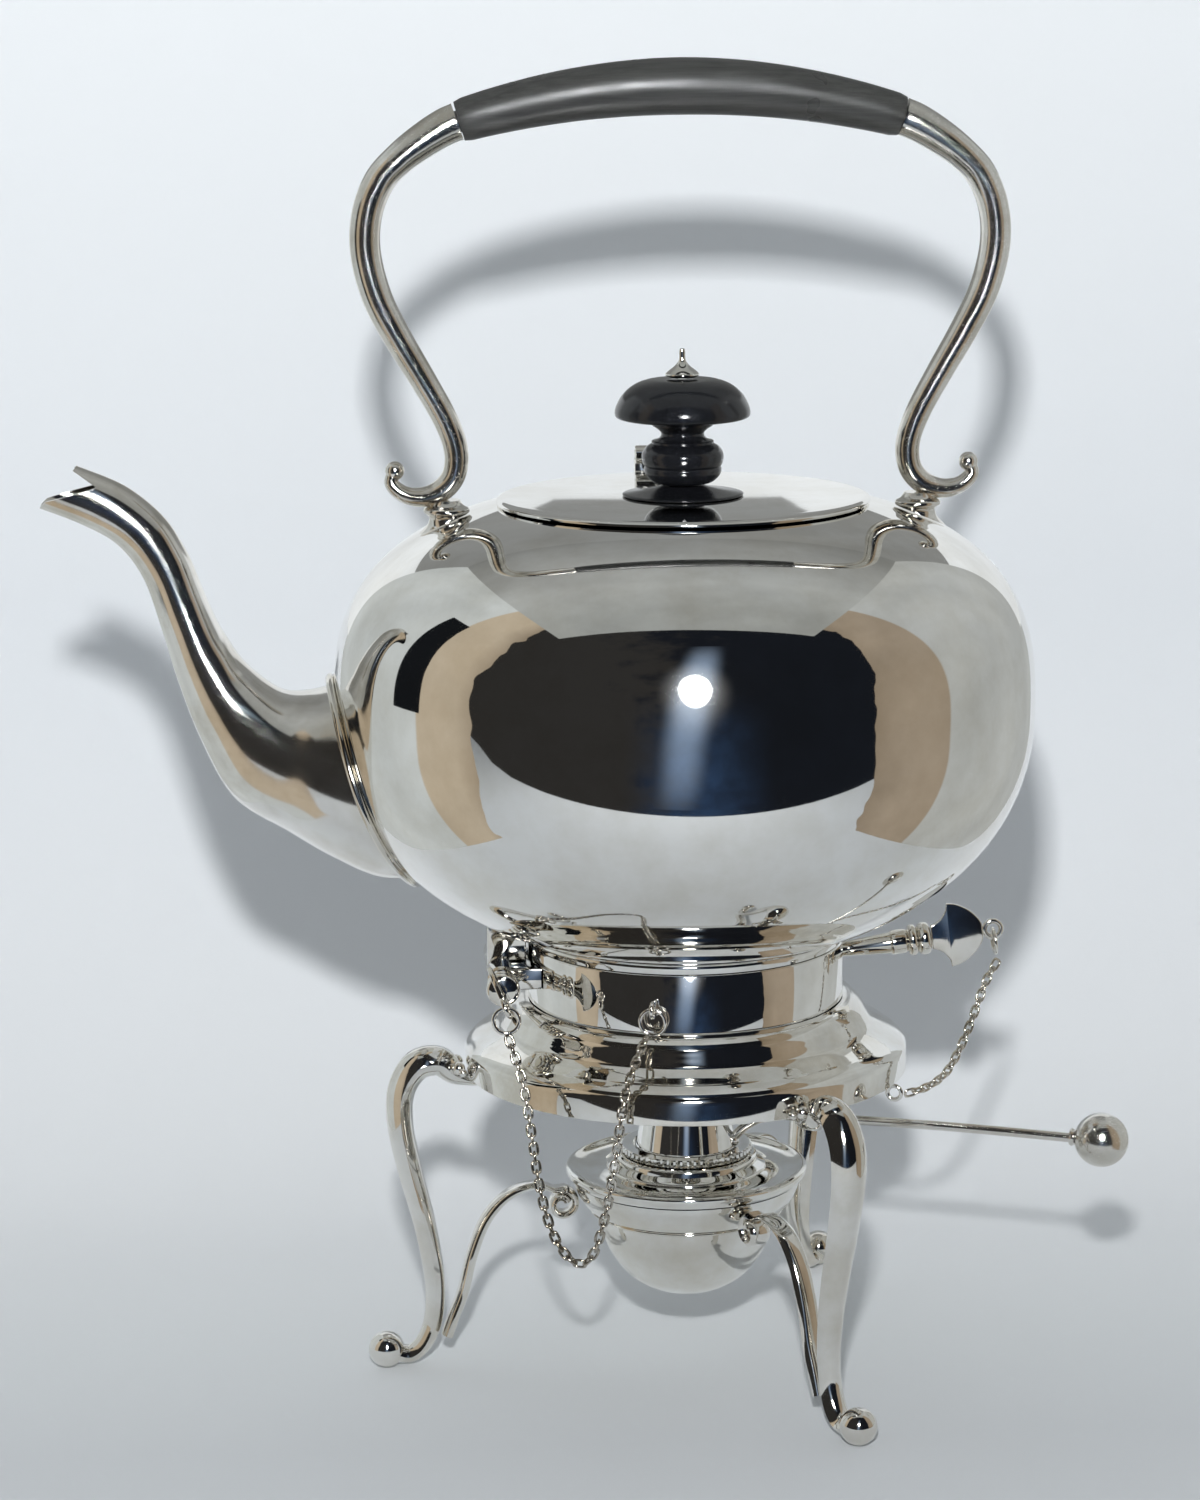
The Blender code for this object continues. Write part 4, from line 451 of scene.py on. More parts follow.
def makeRoom(values):
    world = bpy.data.worlds.new("studio")
    bpy.context.scene.world = world
    world.use_nodes = True
    tree = world.node_tree
    tree.nodes.clear()
    coords = addNode(tree, "ShaderNodeTexCoord").outputs["Generated"]
    parts = addNode(tree, "ShaderNodeSeparateXYZ", None, {0: coords})
    clutter = addNode(tree, "ShaderNodeTexNoise", None, {"Vector": coords, "Scale": 7.0, "Detail": 3.0, "Roughness": 0.6})
    shifted = addNode(tree, "ShaderNodeMath", {"operation": "ADD"}, {0: parts.outputs["X"], 1: clutter.outputs[0]})
    side = addNode(tree, "ShaderNodeMapRange", {"interpolation_type": "SMOOTHSTEP"}, {
        "Value": shifted.outputs[0], "From Min": 0.15, "From Max": 0.55})
    room = addNode(tree, "ShaderNodeMix", {"data_type": "RGBA"}, {
        0: side.outputs[0], 6: linear(values["left"]), 7: linear(values["right"])}).outputs[2]
    # blue daylight, low in the room behind the camera
    beside = addNode(tree, "ShaderNodeMath", {"operation": "ABSOLUTE"}, {0: parts.outputs["X"]})
    near = addNode(tree, "ShaderNodeMapRange", {"interpolation_type": "SMOOTHSTEP"}, {
        "Value": beside.outputs[0], "From Max": 0.42, "To Min": 1.0, "To Max": 0.0})
    low = addNode(tree, "ShaderNodeMapRange", {"interpolation_type": "SMOOTHSTEP"}, {
        "Value": parts.outputs["Z"], "From Min": -0.30, "From Max": 0.35, "To Min": 1.0, "To Max": 0.0})
    place = addNode(tree, "ShaderNodeMath", {"operation": "MULTIPLY"}, {0: near.outputs[0], 1: low.outputs[0]})
    place = addNode(tree, "ShaderNodeMath", {"operation": "MULTIPLY"}, {0: place.outputs[0], 1: clutter.outputs[0]})
    place = addNode(tree, "ShaderNodeMath", {"operation": "MULTIPLY"}, {0: place.outputs[0], 1: 1.6})
    room = addNode(tree, "ShaderNodeMix", {"data_type": "RGBA"}, {
        0: place.outputs[0], 6: room, 7: linear(values["low"])}).outputs[2]
    path = addNode(tree, "ShaderNodeLightPath")
    seen = addNode(tree, "ShaderNodeBackground", None, {"Color": linear(values["seen"]), "Strength": 1.0})
    mirrored = addNode(tree, "ShaderNodeBackground", None, {"Color": room, "Strength": 1.0})
    lighting = addNode(tree, "ShaderNodeBackground", None, {
        "Color": linear(values["soft"]), "Strength": values["ambient"]})
    mixed = addNode(tree, "ShaderNodeMixShader", None, {
        0: path.outputs["Is Glossy Ray"], 1: lighting.outputs[0], 2: mirrored.outputs[0]})
    mixed = addNode(tree, "ShaderNodeMixShader", None, {
        0: path.outputs["Is Camera Ray"], 1: mixed.outputs[0], 2: seen.outputs[0]})
    addNode(tree, "ShaderNodeOutputWorld", None, {"Surface": mixed.outputs[0]})


makeRoom(roomValues)
print("studio made")


def smoothLine(points, count):
    line = []
    last = len(points) - 1
    for step in range(count):
        along = step * last / (count - 1)
        index = min(int(along), last - 1)
        t = along - index
        p0, p1 = points[max(index - 1, 0)], points[index]
        p2, p3 = points[index + 1], points[min(index + 2, last)]
        line.append(tuple(
            0.5 * (2 * b + (c - a) * t + (2 * a - 5 * b + 4 * c - d) * t * t + (3 * b - a - 3 * c + d) * t ** 3)
            for a, b, c, d in zip(p0, p1, p2, p3)))
    return line


def profile(*runs, steps=6):
    line = []
    for run in runs:
        dense = smoothLine(run, (len(run) - 1) * steps + 1) if len(run) > 2 else list(run)
        for point in dense:
            if not line or (Vector(point) - Vector(line[-1])).length > 0.01:
                line.append(tuple(point))
    return line


def innerLine(points, wall):
    moved = []
    last = len(points) - 1
    for index, point in enumerate(points):
        here = Vector(point)
        before = Vector(points[max(index - 1, 0)])
        after = Vector(points[min(index + 1, last)])
        coming = (here - before).normalized() if index else (after - here).normalized()
        going = (after - here).normalized() if index < last else coming
        along = (coming + going).normalized()
        stretch = max(along.dot(coming), 0.6)
        moved.append((here.x + along.y * wall / stretch, here.y - along.x * wall / stretch))
    return [(max(x, 0), y) for x, y in moved]


def sheetLoop(points, wall):
    return list(points) + list(reversed(innerLine(points, wall)))


def finishPiece(name, build, body, material, nodes=(), slot="silver", sharp=38, slack=0.004):
    bmesh.ops.remove_doubles(build, verts=build.verts, dist=slack * mm)
    bmesh.ops.recalc_face_normals(build, faces=build.faces)
    mesh = bpy.data.meshes.new(name)
    build.to_mesh(mesh)
    build.free()
    mesh.shade_smooth()
    mesh.set_sharp_from_angle(angle=math.radians(sharp))
    piece = bpy.data.objects.new(name, mesh)
    bpy.context.scene.collection.objects.link(piece)
    mesh.materials.append(material)
    if body:
        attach(piece, body)
    if nodes:
        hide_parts(*nodes)
    return piece


def turn(build, points, segments=96, closed=False, centre=(0, 0), matrix=None):
    origin = Vector((0, 0, 0)) if matrix else at(centre[0], centre[1], 0)
    verts = [build.verts.new(origin + Vector((radius * mm, 0, height * mm))) for radius, height in points]
    pairs = list(zip(verts, verts[1:]))
    if closed:
        pairs.append((verts[-1], verts[0]))
    edges = [build.edges.new(pair) for pair in pairs]
    before = set(build.verts) - set(verts)
    bmesh.ops.spin(build, geom=verts + edges, cent=origin, axis=upright, angle=2 * math.pi,
                   steps=segments, use_merge=True)
    fresh = [vert for vert in build.verts if vert not in before]
    bmesh.ops.remove_doubles(build, verts=fresh, dist=0.002 * mm)
    if matrix:
        fresh = [vert for vert in build.verts if vert not in before]
        bmesh.ops.transform(build, matrix=matrix, verts=fresh)
    return build


def turned(name, points, body, material, nodes=(), segments=96, closed=False, matrix=None, centre=(0, 0), **more):
    build = turn(bmesh.new(), points, segments, closed, centre, matrix)
    return finishPiece(name, build, body, material, nodes, **more)


def axisMatrix(place, direction):
    return Matrix.Translation(place) @ upright.rotation_difference(direction).to_matrix().to_4x4()


def loft(build, rings, capped=True):
    loops = []
    for ring in rings:
        verts = [build.verts.new(point) for point in ring]
        loops.append([build.edges.new((verts[i], verts[(i + 1) % len(verts)])) for i in range(len(verts))])
    for first, second in zip(loops, loops[1:]):
        bmesh.ops.bridge_loops(build, edges=first + second)
    if capped:
        for loop in (loops[0], loops[-1]):
            bmesh.ops.edgeloop_fill(build, edges=loop)
    return build


def wire(build, path, radii, sides=20, capped=True, depths=None):
    points = [Vector(point) for point in path]
    rings = []
    side = None
    for index, point in enumerate(points):
        before = points[max(index - 1, 0)]
        after = points[min(index + 1, len(points) - 1)]
        along = (after - before).normalized()
        if side is None:
            side = along.cross(Vector((0.05, 1, 0.03))).normalized()
        side = (side - along * side.dot(along)).normalized()
        other = along.cross(side)
        radius = radii[index] * mm
        depth = depths[index] if depths else 1
        rings.append([point + (side * math.cos(t) + other * depth * math.sin(t)) * radius
                      for t in (2 * math.pi * i / sides for i in range(sides))])
    return loft(build, rings, capped)


def ringLoop(build, centre, normal, radius, wireRadius, sides=10, segments=28, stretch=(1, 1)):
    loop = [(radius + wireRadius * math.cos(t), wireRadius * math.sin(t))
            for t in (2 * math.pi * i / sides for i in range(sides))]
    before = set(build.verts)
    turn(build, loop, segments, True, matrix=Matrix.Identity(4))
    fresh = [vert for vert in build.verts if vert not in before]
    shape = Matrix.Diagonal((stretch[0], stretch[1], 1, 1))
    bmesh.ops.transform(build, matrix=axisMatrix(centre, normal) @ shape, verts=fresh)
    return build


def block(build, low, high, edge=0.25):
    made = bmesh.ops.create_cube(build, size=1)["verts"]
    size = (Vector(high) - Vector(low)) * mm
    middle = at(*[(a + b) / 2 for a, b in zip(low, high)])
    bmesh.ops.transform(build, verts=made, matrix=Matrix.Translation(middle) @ Matrix.Diagonal((*size, 1)))
    edges = {item for vert in made for item in vert.link_edges}
    bmesh.ops.bevel(build, geom=list(edges), offset=edge * mm, segments=2, profile=0.5, affect="EDGES", material=-1)
    return build


def radial(turnDegrees, radius, height):
    t = math.radians(turnDegrees)
    return at(radius * math.cos(t), radius * math.sin(t), height)


bodyValues = {"radius": 84.0, "equator": 164.5, "rise": 51.5, "drop": 61.0, "topPower": 2.7, "bottomPower": 2.2,
              "wall": 0.9, "mouth": 42.0}


def bodyHeight(radius, grow=0):
    share = max(1 - (radius / (bodyValues["radius"] + grow)) ** bodyValues["topPower"], 0)
    return bodyValues["equator"] + (bodyValues["rise"] + grow) * share ** (1 / bodyValues["topPower"])


def bodyUnder(radius, grow=0):
    share = max(1 - (radius / (bodyValues["radius"] + grow)) ** bodyValues["bottomPower"], 0)
    return bodyValues["equator"] - (bodyValues["drop"] + grow) * share ** (1 / bodyValues["bottomPower"])


def bodyLine(startRadius, grow=0, topRows=44, bottomRows=44):
    radius = bodyValues["radius"] + grow
    topPower, bottomPower = bodyValues["topPower"], bodyValues["bottomPower"]
    start = math.acos(min((startRadius / radius) ** (topPower / 2), 1))
    line = []
    for row in range(topRows):
        t = start * (1 - row / topRows)
        line.append((radius * math.cos(t) ** (2 / topPower),
                     bodyValues["equator"] + (bodyValues["rise"] + grow) * math.sin(t) ** (2 / topPower)))
    for row in range(bottomRows):
        t = math.pi / 2 * row / bottomRows
        line.append((radius * math.cos(t) ** (2 / bottomPower),
                     bodyValues["equator"] - (bodyValues["drop"] + grow) * math.sin(t) ** (2 / bottomPower)))
    line.append((0, bodyValues["equator"] - bodyValues["drop"] - grow))
    return line


def loosePiece(name, build):
    bmesh.ops.recalc_face_normals(build, faces=build.faces)
    mesh = bpy.data.meshes.new(name)
    build.to_mesh(mesh)
    build.free()
    piece = bpy.data.objects.new(name, mesh)
    bpy.context.scene.collection.objects.link(piece)
    return piece


def cutWith(piece, cutters):
    for cutter in cutters:
        cut = piece.modifiers.new("cut", "BOOLEAN")
        cut.operation = "DIFFERENCE"
        cut.solver = "EXACT"
        cut.object = cutter
    depsgraph = bpy.context.evaluated_depsgraph_get()
    mesh = bpy.data.meshes.new_from_object(piece.evaluated_get(depsgraph))
    piece.modifiers.clear()
    build = bmesh.new()
    build.from_mesh(mesh)
    bpy.data.objects.remove(piece)
    for cutter in cutters:
        bpy.data.objects.remove(cutter)
    return build


def bodyCutter():
    line = [(0, bodyValues["equator"] + bodyValues["rise"] + 0.3)] + bodyLine(30, 0.3)
    return loosePiece("bodyCutter", turn(bmesh.new(), line, 128))


def makeBody():
    outer = bodyLine(bodyValues["mouth"])
    inner = innerLine(outer, bodyValues["wall"])
    inner[-1] = (0, inner[-1][1])
    line = list(reversed(inner)) + outer
    raised = loosePiece("raised", turn(bmesh.new(), line, 144))
    drills = []
    for number in range(7):
        t = 2 * math.pi * number / 6
        y, z = (0, 0) if number == 6 else (6.8 * math.cos(t), 6.8 * math.sin(t))
        build = turn(bmesh.new(), [(0, -20), (2.2, -20), (2.2, 20), (0, 20)], 20,
                     matrix=axisMatrix(at(-84, y, 148 + z), Vector((1, 0, 0))))
        drills.append(loosePiece("drill", build))
    finishPiece("kettleBody", cutWith(raised, drills), "kettle", silver["raisedSilver"], ["kettle_body"])


makeBody()
print("body made")

standTop = 106.2


def makeFootAndCollar():
    lift = 0.3
    foot = profile(
        [(33.6, bodyUnder(33.6) - lift), (36.0, bodyUnder(36.0) - lift), (38.3, bodyUnder(38.3) - lift)],
        [(38.3, bodyUnder(38.3) - lift), (38.45, 107.8), (38.2, standTop + lift)],
        [(38.2, standTop + lift), (34.8, standTop + lift)],
        [(34.8, standTop + lift), (34.8, 94.2)],
        [(34.8, 94.2), (33.6, 94.2)])
    turned("kettleFoot", foot, "kettle", silver["turnedSilver"], ["kettle_foot"], 128, True)
    collar = profile(
        [(37.1, standTop - 0.2), (37.4, standTop), (38.0, standTop), (38.3, standTop - 0.4)],
        [(38.3, standTop - 0.4), (38.3, 92.3)],
        [(38.3, 92.3), (37.1, 92.3)])
    turned("standCollar", collar, "stand", silver["raisedSilver"], ["stand_collar"], 128, True)


makeFootAndCollar()


def makeGallery():
    outer = profile(
        [(37.2, 92.0), (38.6, 92.0)],
        [(38.6, 92.0), (39.6, 91.9), (41.2, 91.4), (43.0, 89.6), (44.0, 87.9), (45.2, 85.9), (47.0, 84.5), (49.6, 83.1)],
        [(49.6, 83.1), (50.1, 82.9)],
        [(50.1, 82.9), (51.8, 81.9), (53.0, 80.9), (53.6, 80.1), (53.8, 79.2)],
        [(53.8, 79.2), (53.8, 74.5)],
        [(53.8, 74.5), (53.6, 74.3)], steps=7)
    turned("standGallery", sheetLoop(outer, 1.2), "stand", silver["turnedSilver"], ["stand_gallery"], 144, True)


makeGallery()

legValues = {
    "turns": (183.5, 297.5, 57.5), "top": 50.3, "foot": 74.6, "rim": 74.3, "thick": 3.7, "wide": 5.0,
    "line": (
        (0.00, 0.973, 0.41, 0.32), (0.11, 0.974, 0.41, 0.44), (0.27, 0.999, 0.76, 0.64),
        (0.42, 1.040, 0.98, 0.84), (0.64, 1.030, 1.00, 0.96), (0.80, 0.950, 0.92, 1.00),
        (0.82, 0.834, 0.86, 0.98), (0.73, 0.673, 0.81, 0.90), (0.59, 0.485, 0.73, 0.80),
        (0.50, 0.296, 0.68, 0.70), (0.52, 0.162, 0.62, 0.64), (0.62, 0.078, 0.59, 0.64),
        (0.76, 0.041, 0.59, 0.64), (0.90, 0.050, 0.60, 0.60)),
}


def sweepUpright(build, stations, turnDegrees, section):
    t = math.radians(turnDegrees)
    across = Vector((-math.sin(t), math.cos(t), 0))
    rings = []
    for index, (radius, height, thick, wide) in enumerate(stations):
        before = stations[max(index - 1, 0)]
        after = stations[min(index + 1, len(stations) - 1)]
        along = Vector((after[0] - before[0], after[1] - before[1])).normalized()
        outward = Vector((along.y * math.cos(t), along.y * math.sin(t), -along.x))
        centre = radial(turnDegrees, radius, height)
        rings.append([centre + outward * u * thick * mm + across * v * wide * mm for u, v in section])
    return loft(build, rings)


def bead(build, centre, radius, sides=20):
    bmesh.ops.create_uvsphere(build, u_segments=sides, v_segments=sides // 2, radius=radius * mm,
                              matrix=Matrix.Translation(centre))


def lensSection(steps, fullness):
    # two bowed faces that meet in a soft ridge down each side
    side = [math.sin(math.pi * (step / steps - 0.5)) for step in range(steps)]
    front = [(1 - abs(v) ** fullness, v) for v in side]
    back = [(abs(v) ** fullness - 1, v) for v in (-v for v in side)]
    return front + back


def makeLegs(values):
    section = lensSection(14, 2.3)
    spread = values["foot"] - values["top"]
    stations = [(values["top"] + out * spread, up * values["rim"], thick * values["thick"], wide * values["wide"])
                for out, up, thick, wide in values["line"]]
    dense = smoothLine(stations, 66)
    for number, turnDegrees in enumerate(values["turns"]):
        leg = loosePiece("leg", sweepUpright(bmesh.new(), dense, turnDegrees, section))
        rim = turn(bmesh.new(), [(0, 74.0), (54.1, 74.0), (54.1, 120), (0, 120)], 96)
        build = cutWith(leg, [loosePiece("rimCutter", rim)])
        bead(build, radial(turnDegrees, values["foot"], 4.5), 4.45, 28)
        # a pair of beads closes the gap between the scroll and the rim band
        for side in (-1, 1):
            bead(build, radial(turnDegrees + side * 3.4, 56.1, 76.2), 1.6)
            bead(build, radial(turnDegrees + side * 5.6, 55.4, 75.6), 1.0, 14)
        finishPiece(f"leg{number + 1}", build, "stand", silver["castSilver"], [f"leg_{number + 1}"], sharp=60)


makeLegs(legValues)

strapValues = {
    "ring": 27.8, "foot": 59.6, "low": 7.52, "top": 45.6, "thick": 1.4, "wide": 2.8,
    "rollOut": 0.0975, "rollDrop": 5.7, "roll": 3.7, "rollThick": 0.7,
    "line": ((1.000, 0.000, 1.00), (0.949, 0.122, 1.00), (0.870, 0.294, 1.00), (0.799, 0.533, 1.00),
             (0.685, 0.766, 0.95), (0.514, 0.922, 0.85), (0.307, 0.982, 0.66), (0.157, 0.946, 0.48)),
}


def makeStraps(values):
    spread, rise = values["foot"] - values["ring"], values["top"] - values["low"]
    line = smoothLine([(values["ring"] + out * spread, values["low"] + up * rise, share * values["thick"])
                       for out, up, share in values["line"]], 60)
    middle = (values["ring"] + values["rollOut"] * spread, values["top"] - values["rollDrop"])
    steps = 60
    for step in range(steps):
        t = math.radians(100 + 420 * step / steps)
        reach = values["roll"] * (1 - 0.62 * step / steps)
        line.append((middle[0] + reach * math.cos(t), middle[1] + reach * math.sin(t),
                     values["rollThick"] * values["thick"]))
    stations = [(radius, height, thick, values["wide"]) for radius, height, thick in line]
    section = lensSection(12, 4.0)
    for number, turnDegrees in enumerate(legValues["turns"]):
        build = sweepUpright(bmesh.new(), stations, turnDegrees, section)
        finishPiece(f"legStrap{number + 1}", build, "stand", silver["castSilver"], [f"leg_strap_{number + 1}"], sharp=50)


makeStraps(strapValues)
print("legs made")


def makeLamp():
    ring = profile(
        [(27.6, 45.6), (27.8, 45.4)],
        [(27.8, 45.4), (27.5, 43.6), (26.4, 41.2), (24.6, 38.9), (23.6, 38.2)],
        [(23.6, 38.2), (23.9, 37.8), (23.5, 37.4)])
    turned("lampRing", sheetLoop(ring, 1.0), "stand", silver["turnedSilver"], ["lamp_ring"], 112, True)
    low = 45.9
    high = 5.9
    size = 29.5
    flange = profile(
        [(0.30 * size, low + high), (0.565 * size, low + high)],
        [(0.565 * size, low + high), (0.585 * size, low + 0.93 * high), (0.592 * size, low + 0.72 * high)],
        [(0.592 * size, low + 0.72 * high), (0.655 * size, low + 0.52 * high), (0.665 * size, low + 0.40 * high)],
        [(0.665 * size, low + 0.40 * high), (0.74 * size, low + 0.29 * high), (0.82 * size, low + 0.26 * high),
         (0.90 * size, low + 0.34 * high), (0.955 * size, low + 0.47 * high), (0.975 * size, low + 0.49 * high),
         (1.0 * size, low + 0.42 * high), (1.0 * size, low + 0.26 * high), (0.985 * size, low + 0.12 * high),
         (0.965 * size, low)])
    turned("lampFlange", sheetLoop(flange, 1.1), "lamp", silver["turnedSilver"], ["lamp_flange"], 128, True)
    outer = profile(
        [(21.6, 45.9), (21.6, 37.6)],
        [(21.6, 37.6), (21.3, 34.0), (20.1, 29.6), (17.7, 25.1), (14.3, 21.1), (9.9, 18.3), (5.0, 16.7), (0, 16.2)])
    inner = innerLine(outer, 0.9)
    inner[-1] = (0, inner[-1][1])
    turned("lampBowl", list(reversed(inner)) + outer, "lamp", silver["turnedSilver"], ["lamp_bowl"], 112)


makeLamp()


def makeBurner():
    bottom, top, floor = 52.1, 54.0, 53.1
    outline = [(13.2, top), (15.6, top), (16.0, top - 0.25), (16.0, bottom + 0.25), (15.7, bottom), (5.5, bottom),
               (5.5, floor), (13.2, floor)]
    build = turn(bmesh.new(), outline, 180, True)
    # the milled edge: one tooth in three facets
    centre = at(0, 0, 0)
    for vert in build.verts:
        flat = Vector((vert.co.x - centre.x, vert.co.y - centre.y))
        if flat.length > 15.8 * mm:
            step = round(math.atan2(flat.y, flat.x) / (2 * math.pi) * 180) % 3
            flat *= 1.012 if step == 0 else 0.988
            vert.co.x, vert.co.y = centre.x + flat.x, centre.y + flat.y
    finishPiece("burnerCollar", build, "burner", silver["turnedSilver"], ["burner_collar"], sharp=15)
    tube = [(4.5, 59.9), (4.9, 60.0), (5.2, 59.7), (5.2, 32.1), (4.5, 32.1)]
    turned("wickTube", tube, "burner", silver["turnedSilver"], ["wick_tube"], 48, True)
    wick = profile([(0, 61.1), (2.4, 60.95), (3.6, 60.5), (4.2, 59.9)], [(4.2, 59.9), (4.2, 30.0)], [(4.2, 30.0), (0, 30.0)])
    turned("wick", wick, "burner", wickCotton, ["wick"], 40, slot="wick_cotton")


makeBurner()


def makeSnuffer():
    bottom = 53.4
    outer = profile(
        [(0, bottom + 15.0), (3.0, bottom + 14.95), (6.2, bottom + 14.6), (8.6, bottom + 13.9), (9.9, bottom + 12.8),
         (10.4, bottom + 11.7)],
        [(10.4, bottom + 11.7), (12.2, bottom + 0.8)],
        [(12.2, bottom + 0.8), (12.5, bottom + 0.5), (12.4, bottom)])
    inner = innerLine(outer, 0.9)
    inner[0] = (0, inner[0][1])
    turned("snufferCap", outer + list(reversed(inner)), "snuffer", silver["raisedSilver"], ["snuffer_cap"], 96)
    route = ((0.112, 0.22), (0.150, 0.66), (0.205, 0.97), (0.290, 1.0), (0.640, 0.99), (0.935, 0.90))
    line = [radial(-18, out * 102, bottom + up * 9.0) for out, up in smoothLine(route, 60)]
    build = wire(bmesh.new(), line, [1.15] * len(line), 20)
    bead(build, line[0], 1.9)
    end = radial(-18, 102, bottom + 0.90 * 9.0)
    along = (line[-1] - line[-3]).normalized()
    turn(build, [(0, 1.2), (1.9, 1.2), (2.2, 0.5), (1.9, 0), (0, 0)], 24, matrix=axisMatrix(end - along * 7.6 * mm, along))
    finishPiece("snufferRod", build, "snuffer", silver["handledSilver"], ["snuffer_rod"], sharp=50)
    build = bmesh.new()
    bead(build, end, 6.5, 48)
    finishPiece("snufferBall", build, "snuffer", silver["wornSilver"], ["snuffer_ball"], sharp=60)


makeSnuffer()
print("lamp made")

spoutValues = {
    "throw": 67.9, "rise": 58.2, "wide": 25.0, "wall": 0.9, "sides": 72, "rows": 90, "notch": 6.8, "notchRise": 3.85, "open": 11.8,
    "line": (
        (-0.140, 0.140, -0.360, -0.700, 1.00), (-0.020, 0.100, -0.165, -0.710, 0.98),
        (0.085, 0.072, 0.010, -0.620, 0.88), (0.185, 0.082, 0.165, -0.510, 0.72),
        (0.300, 0.190, 0.350, -0.370, 0.56), (0.365, 0.300, 0.460, -0.140, 0.45),
        (0.405, 0.390, 0.540, 0.120, 0.37), (0.450, 0.520, 0.590, 0.330, 0.31),
        (0.495, 0.655, 0.650, 0.550, 0.275), (0.575, 0.805, 0.735, 0.690, 0.255),
        (0.705, 0.932, 0.855, 0.775, 0.235), (0.868, 1.016, 1.000, 0.845, 0.205)),
}


def spoutRings(values):
    rings = []
    for upperOut, upperUp, lowerOut, lowerUp, wide in smoothLine(values["line"], values["rows"]):
        upper = at(-(84 + upperOut * values["throw"]), 0, 164.5 + upperUp * values["rise"])
        lower = at(-(84 + lowerOut * values["throw"]), 0, 164.5 + lowerUp * values["rise"])
        middle, half = (upper + lower) / 2, (upper - lower) / 2
        side = Vector((0, wide * values["wide"] * mm, 0))
        rings.append([middle + half * math.cos(t) + side * math.sin(t)
                      for t in (2 * math.pi * i / values["sides"] for i in range(values["sides"]))])
    return rings


def makeSpout(values):
    rings = spoutRings(values)
    build = loft(bmesh.new(), rings, False)
    spout = loosePiece("spoutSkin", build)
    wall = spout.modifiers.new("wall", "SOLIDIFY")
    wall.thickness = values["wall"] * mm
    wall.offset = -1
    wall.use_even_offset = True
    last, before = values["line"][-1], values["line"][-2]
    ends = []
    for row in (last, before):
        ends.append((at(-(84 + row[0] * values["throw"]), 0, 164.5 + row[1] * values["rise"]),
                     at(-(84 + row[2] * values["throw"]), 0, 164.5 + row[3] * values["rise"])))
    mouth = (ends[0][0] + ends[0][1]) / 2
    inward = ((ends[1][0] + ends[1][1]) / 2 - mouth).normalized()
    rising = (ends[0][0] - ends[0][1]).normalized()
    point = mouth + (inward * values["notch"] + rising * values["notchRise"]) * mm
    opening = rising * values["open"] / 2 * mm
    beyond = -inward * values["notch"] / 4 * mm
    side = Vector((0, 25 * mm, 0))
    corners = [point + rising * 0.3 * mm, mouth + opening + beyond, mouth - opening + beyond, point - rising * 0.3 * mm]
    notch = loft(bmesh.new(), [[c - side for c in corners], [c + side for c in corners]])
    build = cutWith(spout, [bodyCutter(), loosePiece("notch", notch)])
    finishPiece("spout", build, "kettle", silver["handledSilver"], ["spout"], sharp=45)
    root = []
    for rib in zip(*rings):
        for inner, outer in zip(rib, rib[1:]):
            gaps = [bodyGap(point) for point in (inner, outer)]
            if gaps[0] < 0 <= gaps[1]:
                root.append(inner.lerp(outer, gaps[0] / (gaps[0] - gaps[1])))
                break
    middle = sum(root, Vector()) / len(root)
    line = []
    for point in root:
        outward = point - middle
        outward.x = 0
        moved = point + outward.normalized() * 1.5 * mm
        height = moved.z / mm
        radius = bodyRadius(height) + 0.9
        line.append(Vector((axisX - math.sqrt(max((radius * mm) ** 2 - moved.y ** 2, 0)), moved.y, moved.z)))
    line.append(line[0])
    build = wire(bmesh.new(), line, [1.0] * len(line), 14, False)
    finishPiece("spoutSeamBead", build, "kettle", silver["castSilver"], ["spout_seam_bead"], sharp=60)


def bodyRadius(height):
    above = height > bodyValues["equator"]
    power = bodyValues["topPower"] if above else bodyValues["bottomPower"]
    reach = bodyValues["rise"] if above else bodyValues["drop"]
    share = max(1 - (abs(height - bodyValues["equator"]) / reach) ** power, 0)
    return bodyValues["radius"] * share ** (1 / power)


def bodyGap(point):
    return math.hypot(point.x - axisX, point.y) / mm - bodyRadius(point.z / mm)


makeSpout(spoutValues)
print("spout made")

lidValues = {"under": 213.209, "thick": 0.9, "radius": 44.6}


def makeLid(values):
    top = values["under"] + values["thick"]
    cover = profile(
        [(1.5, top), (40.0, top)],
        [(40.0, top), (43.0, top - 0.02), (44.0, top - 0.25), (44.5, top - 0.6), (44.6, top - 0.85), (44.4, top - 1.25)],
        [(44.4, top - 1.25), (43.8, top - 1.25)],
        [(43.8, top - 1.25), (43.7, values["under"])],
        [(43.7, values["under"]), (1.5, values["under"])])
    turned("lidCover", cover, "lid", silver["raisedSilver"], ["lid_cover"], 144, True)
    bezel = [(41.2, values["under"] - 0.3), (41.2, values["under"] - 4.1), (41.0, values["under"] - 4.3),
             (40.2, values["under"] - 4.3), (40.2, values["under"] - 0.3)]
    turned("lidBezel", bezel, "lid", silver["turnedSilver"], ["lid_bezel"], 128, True)


makeLid(lidValues)

knobValues = {"bottom": 214.409}


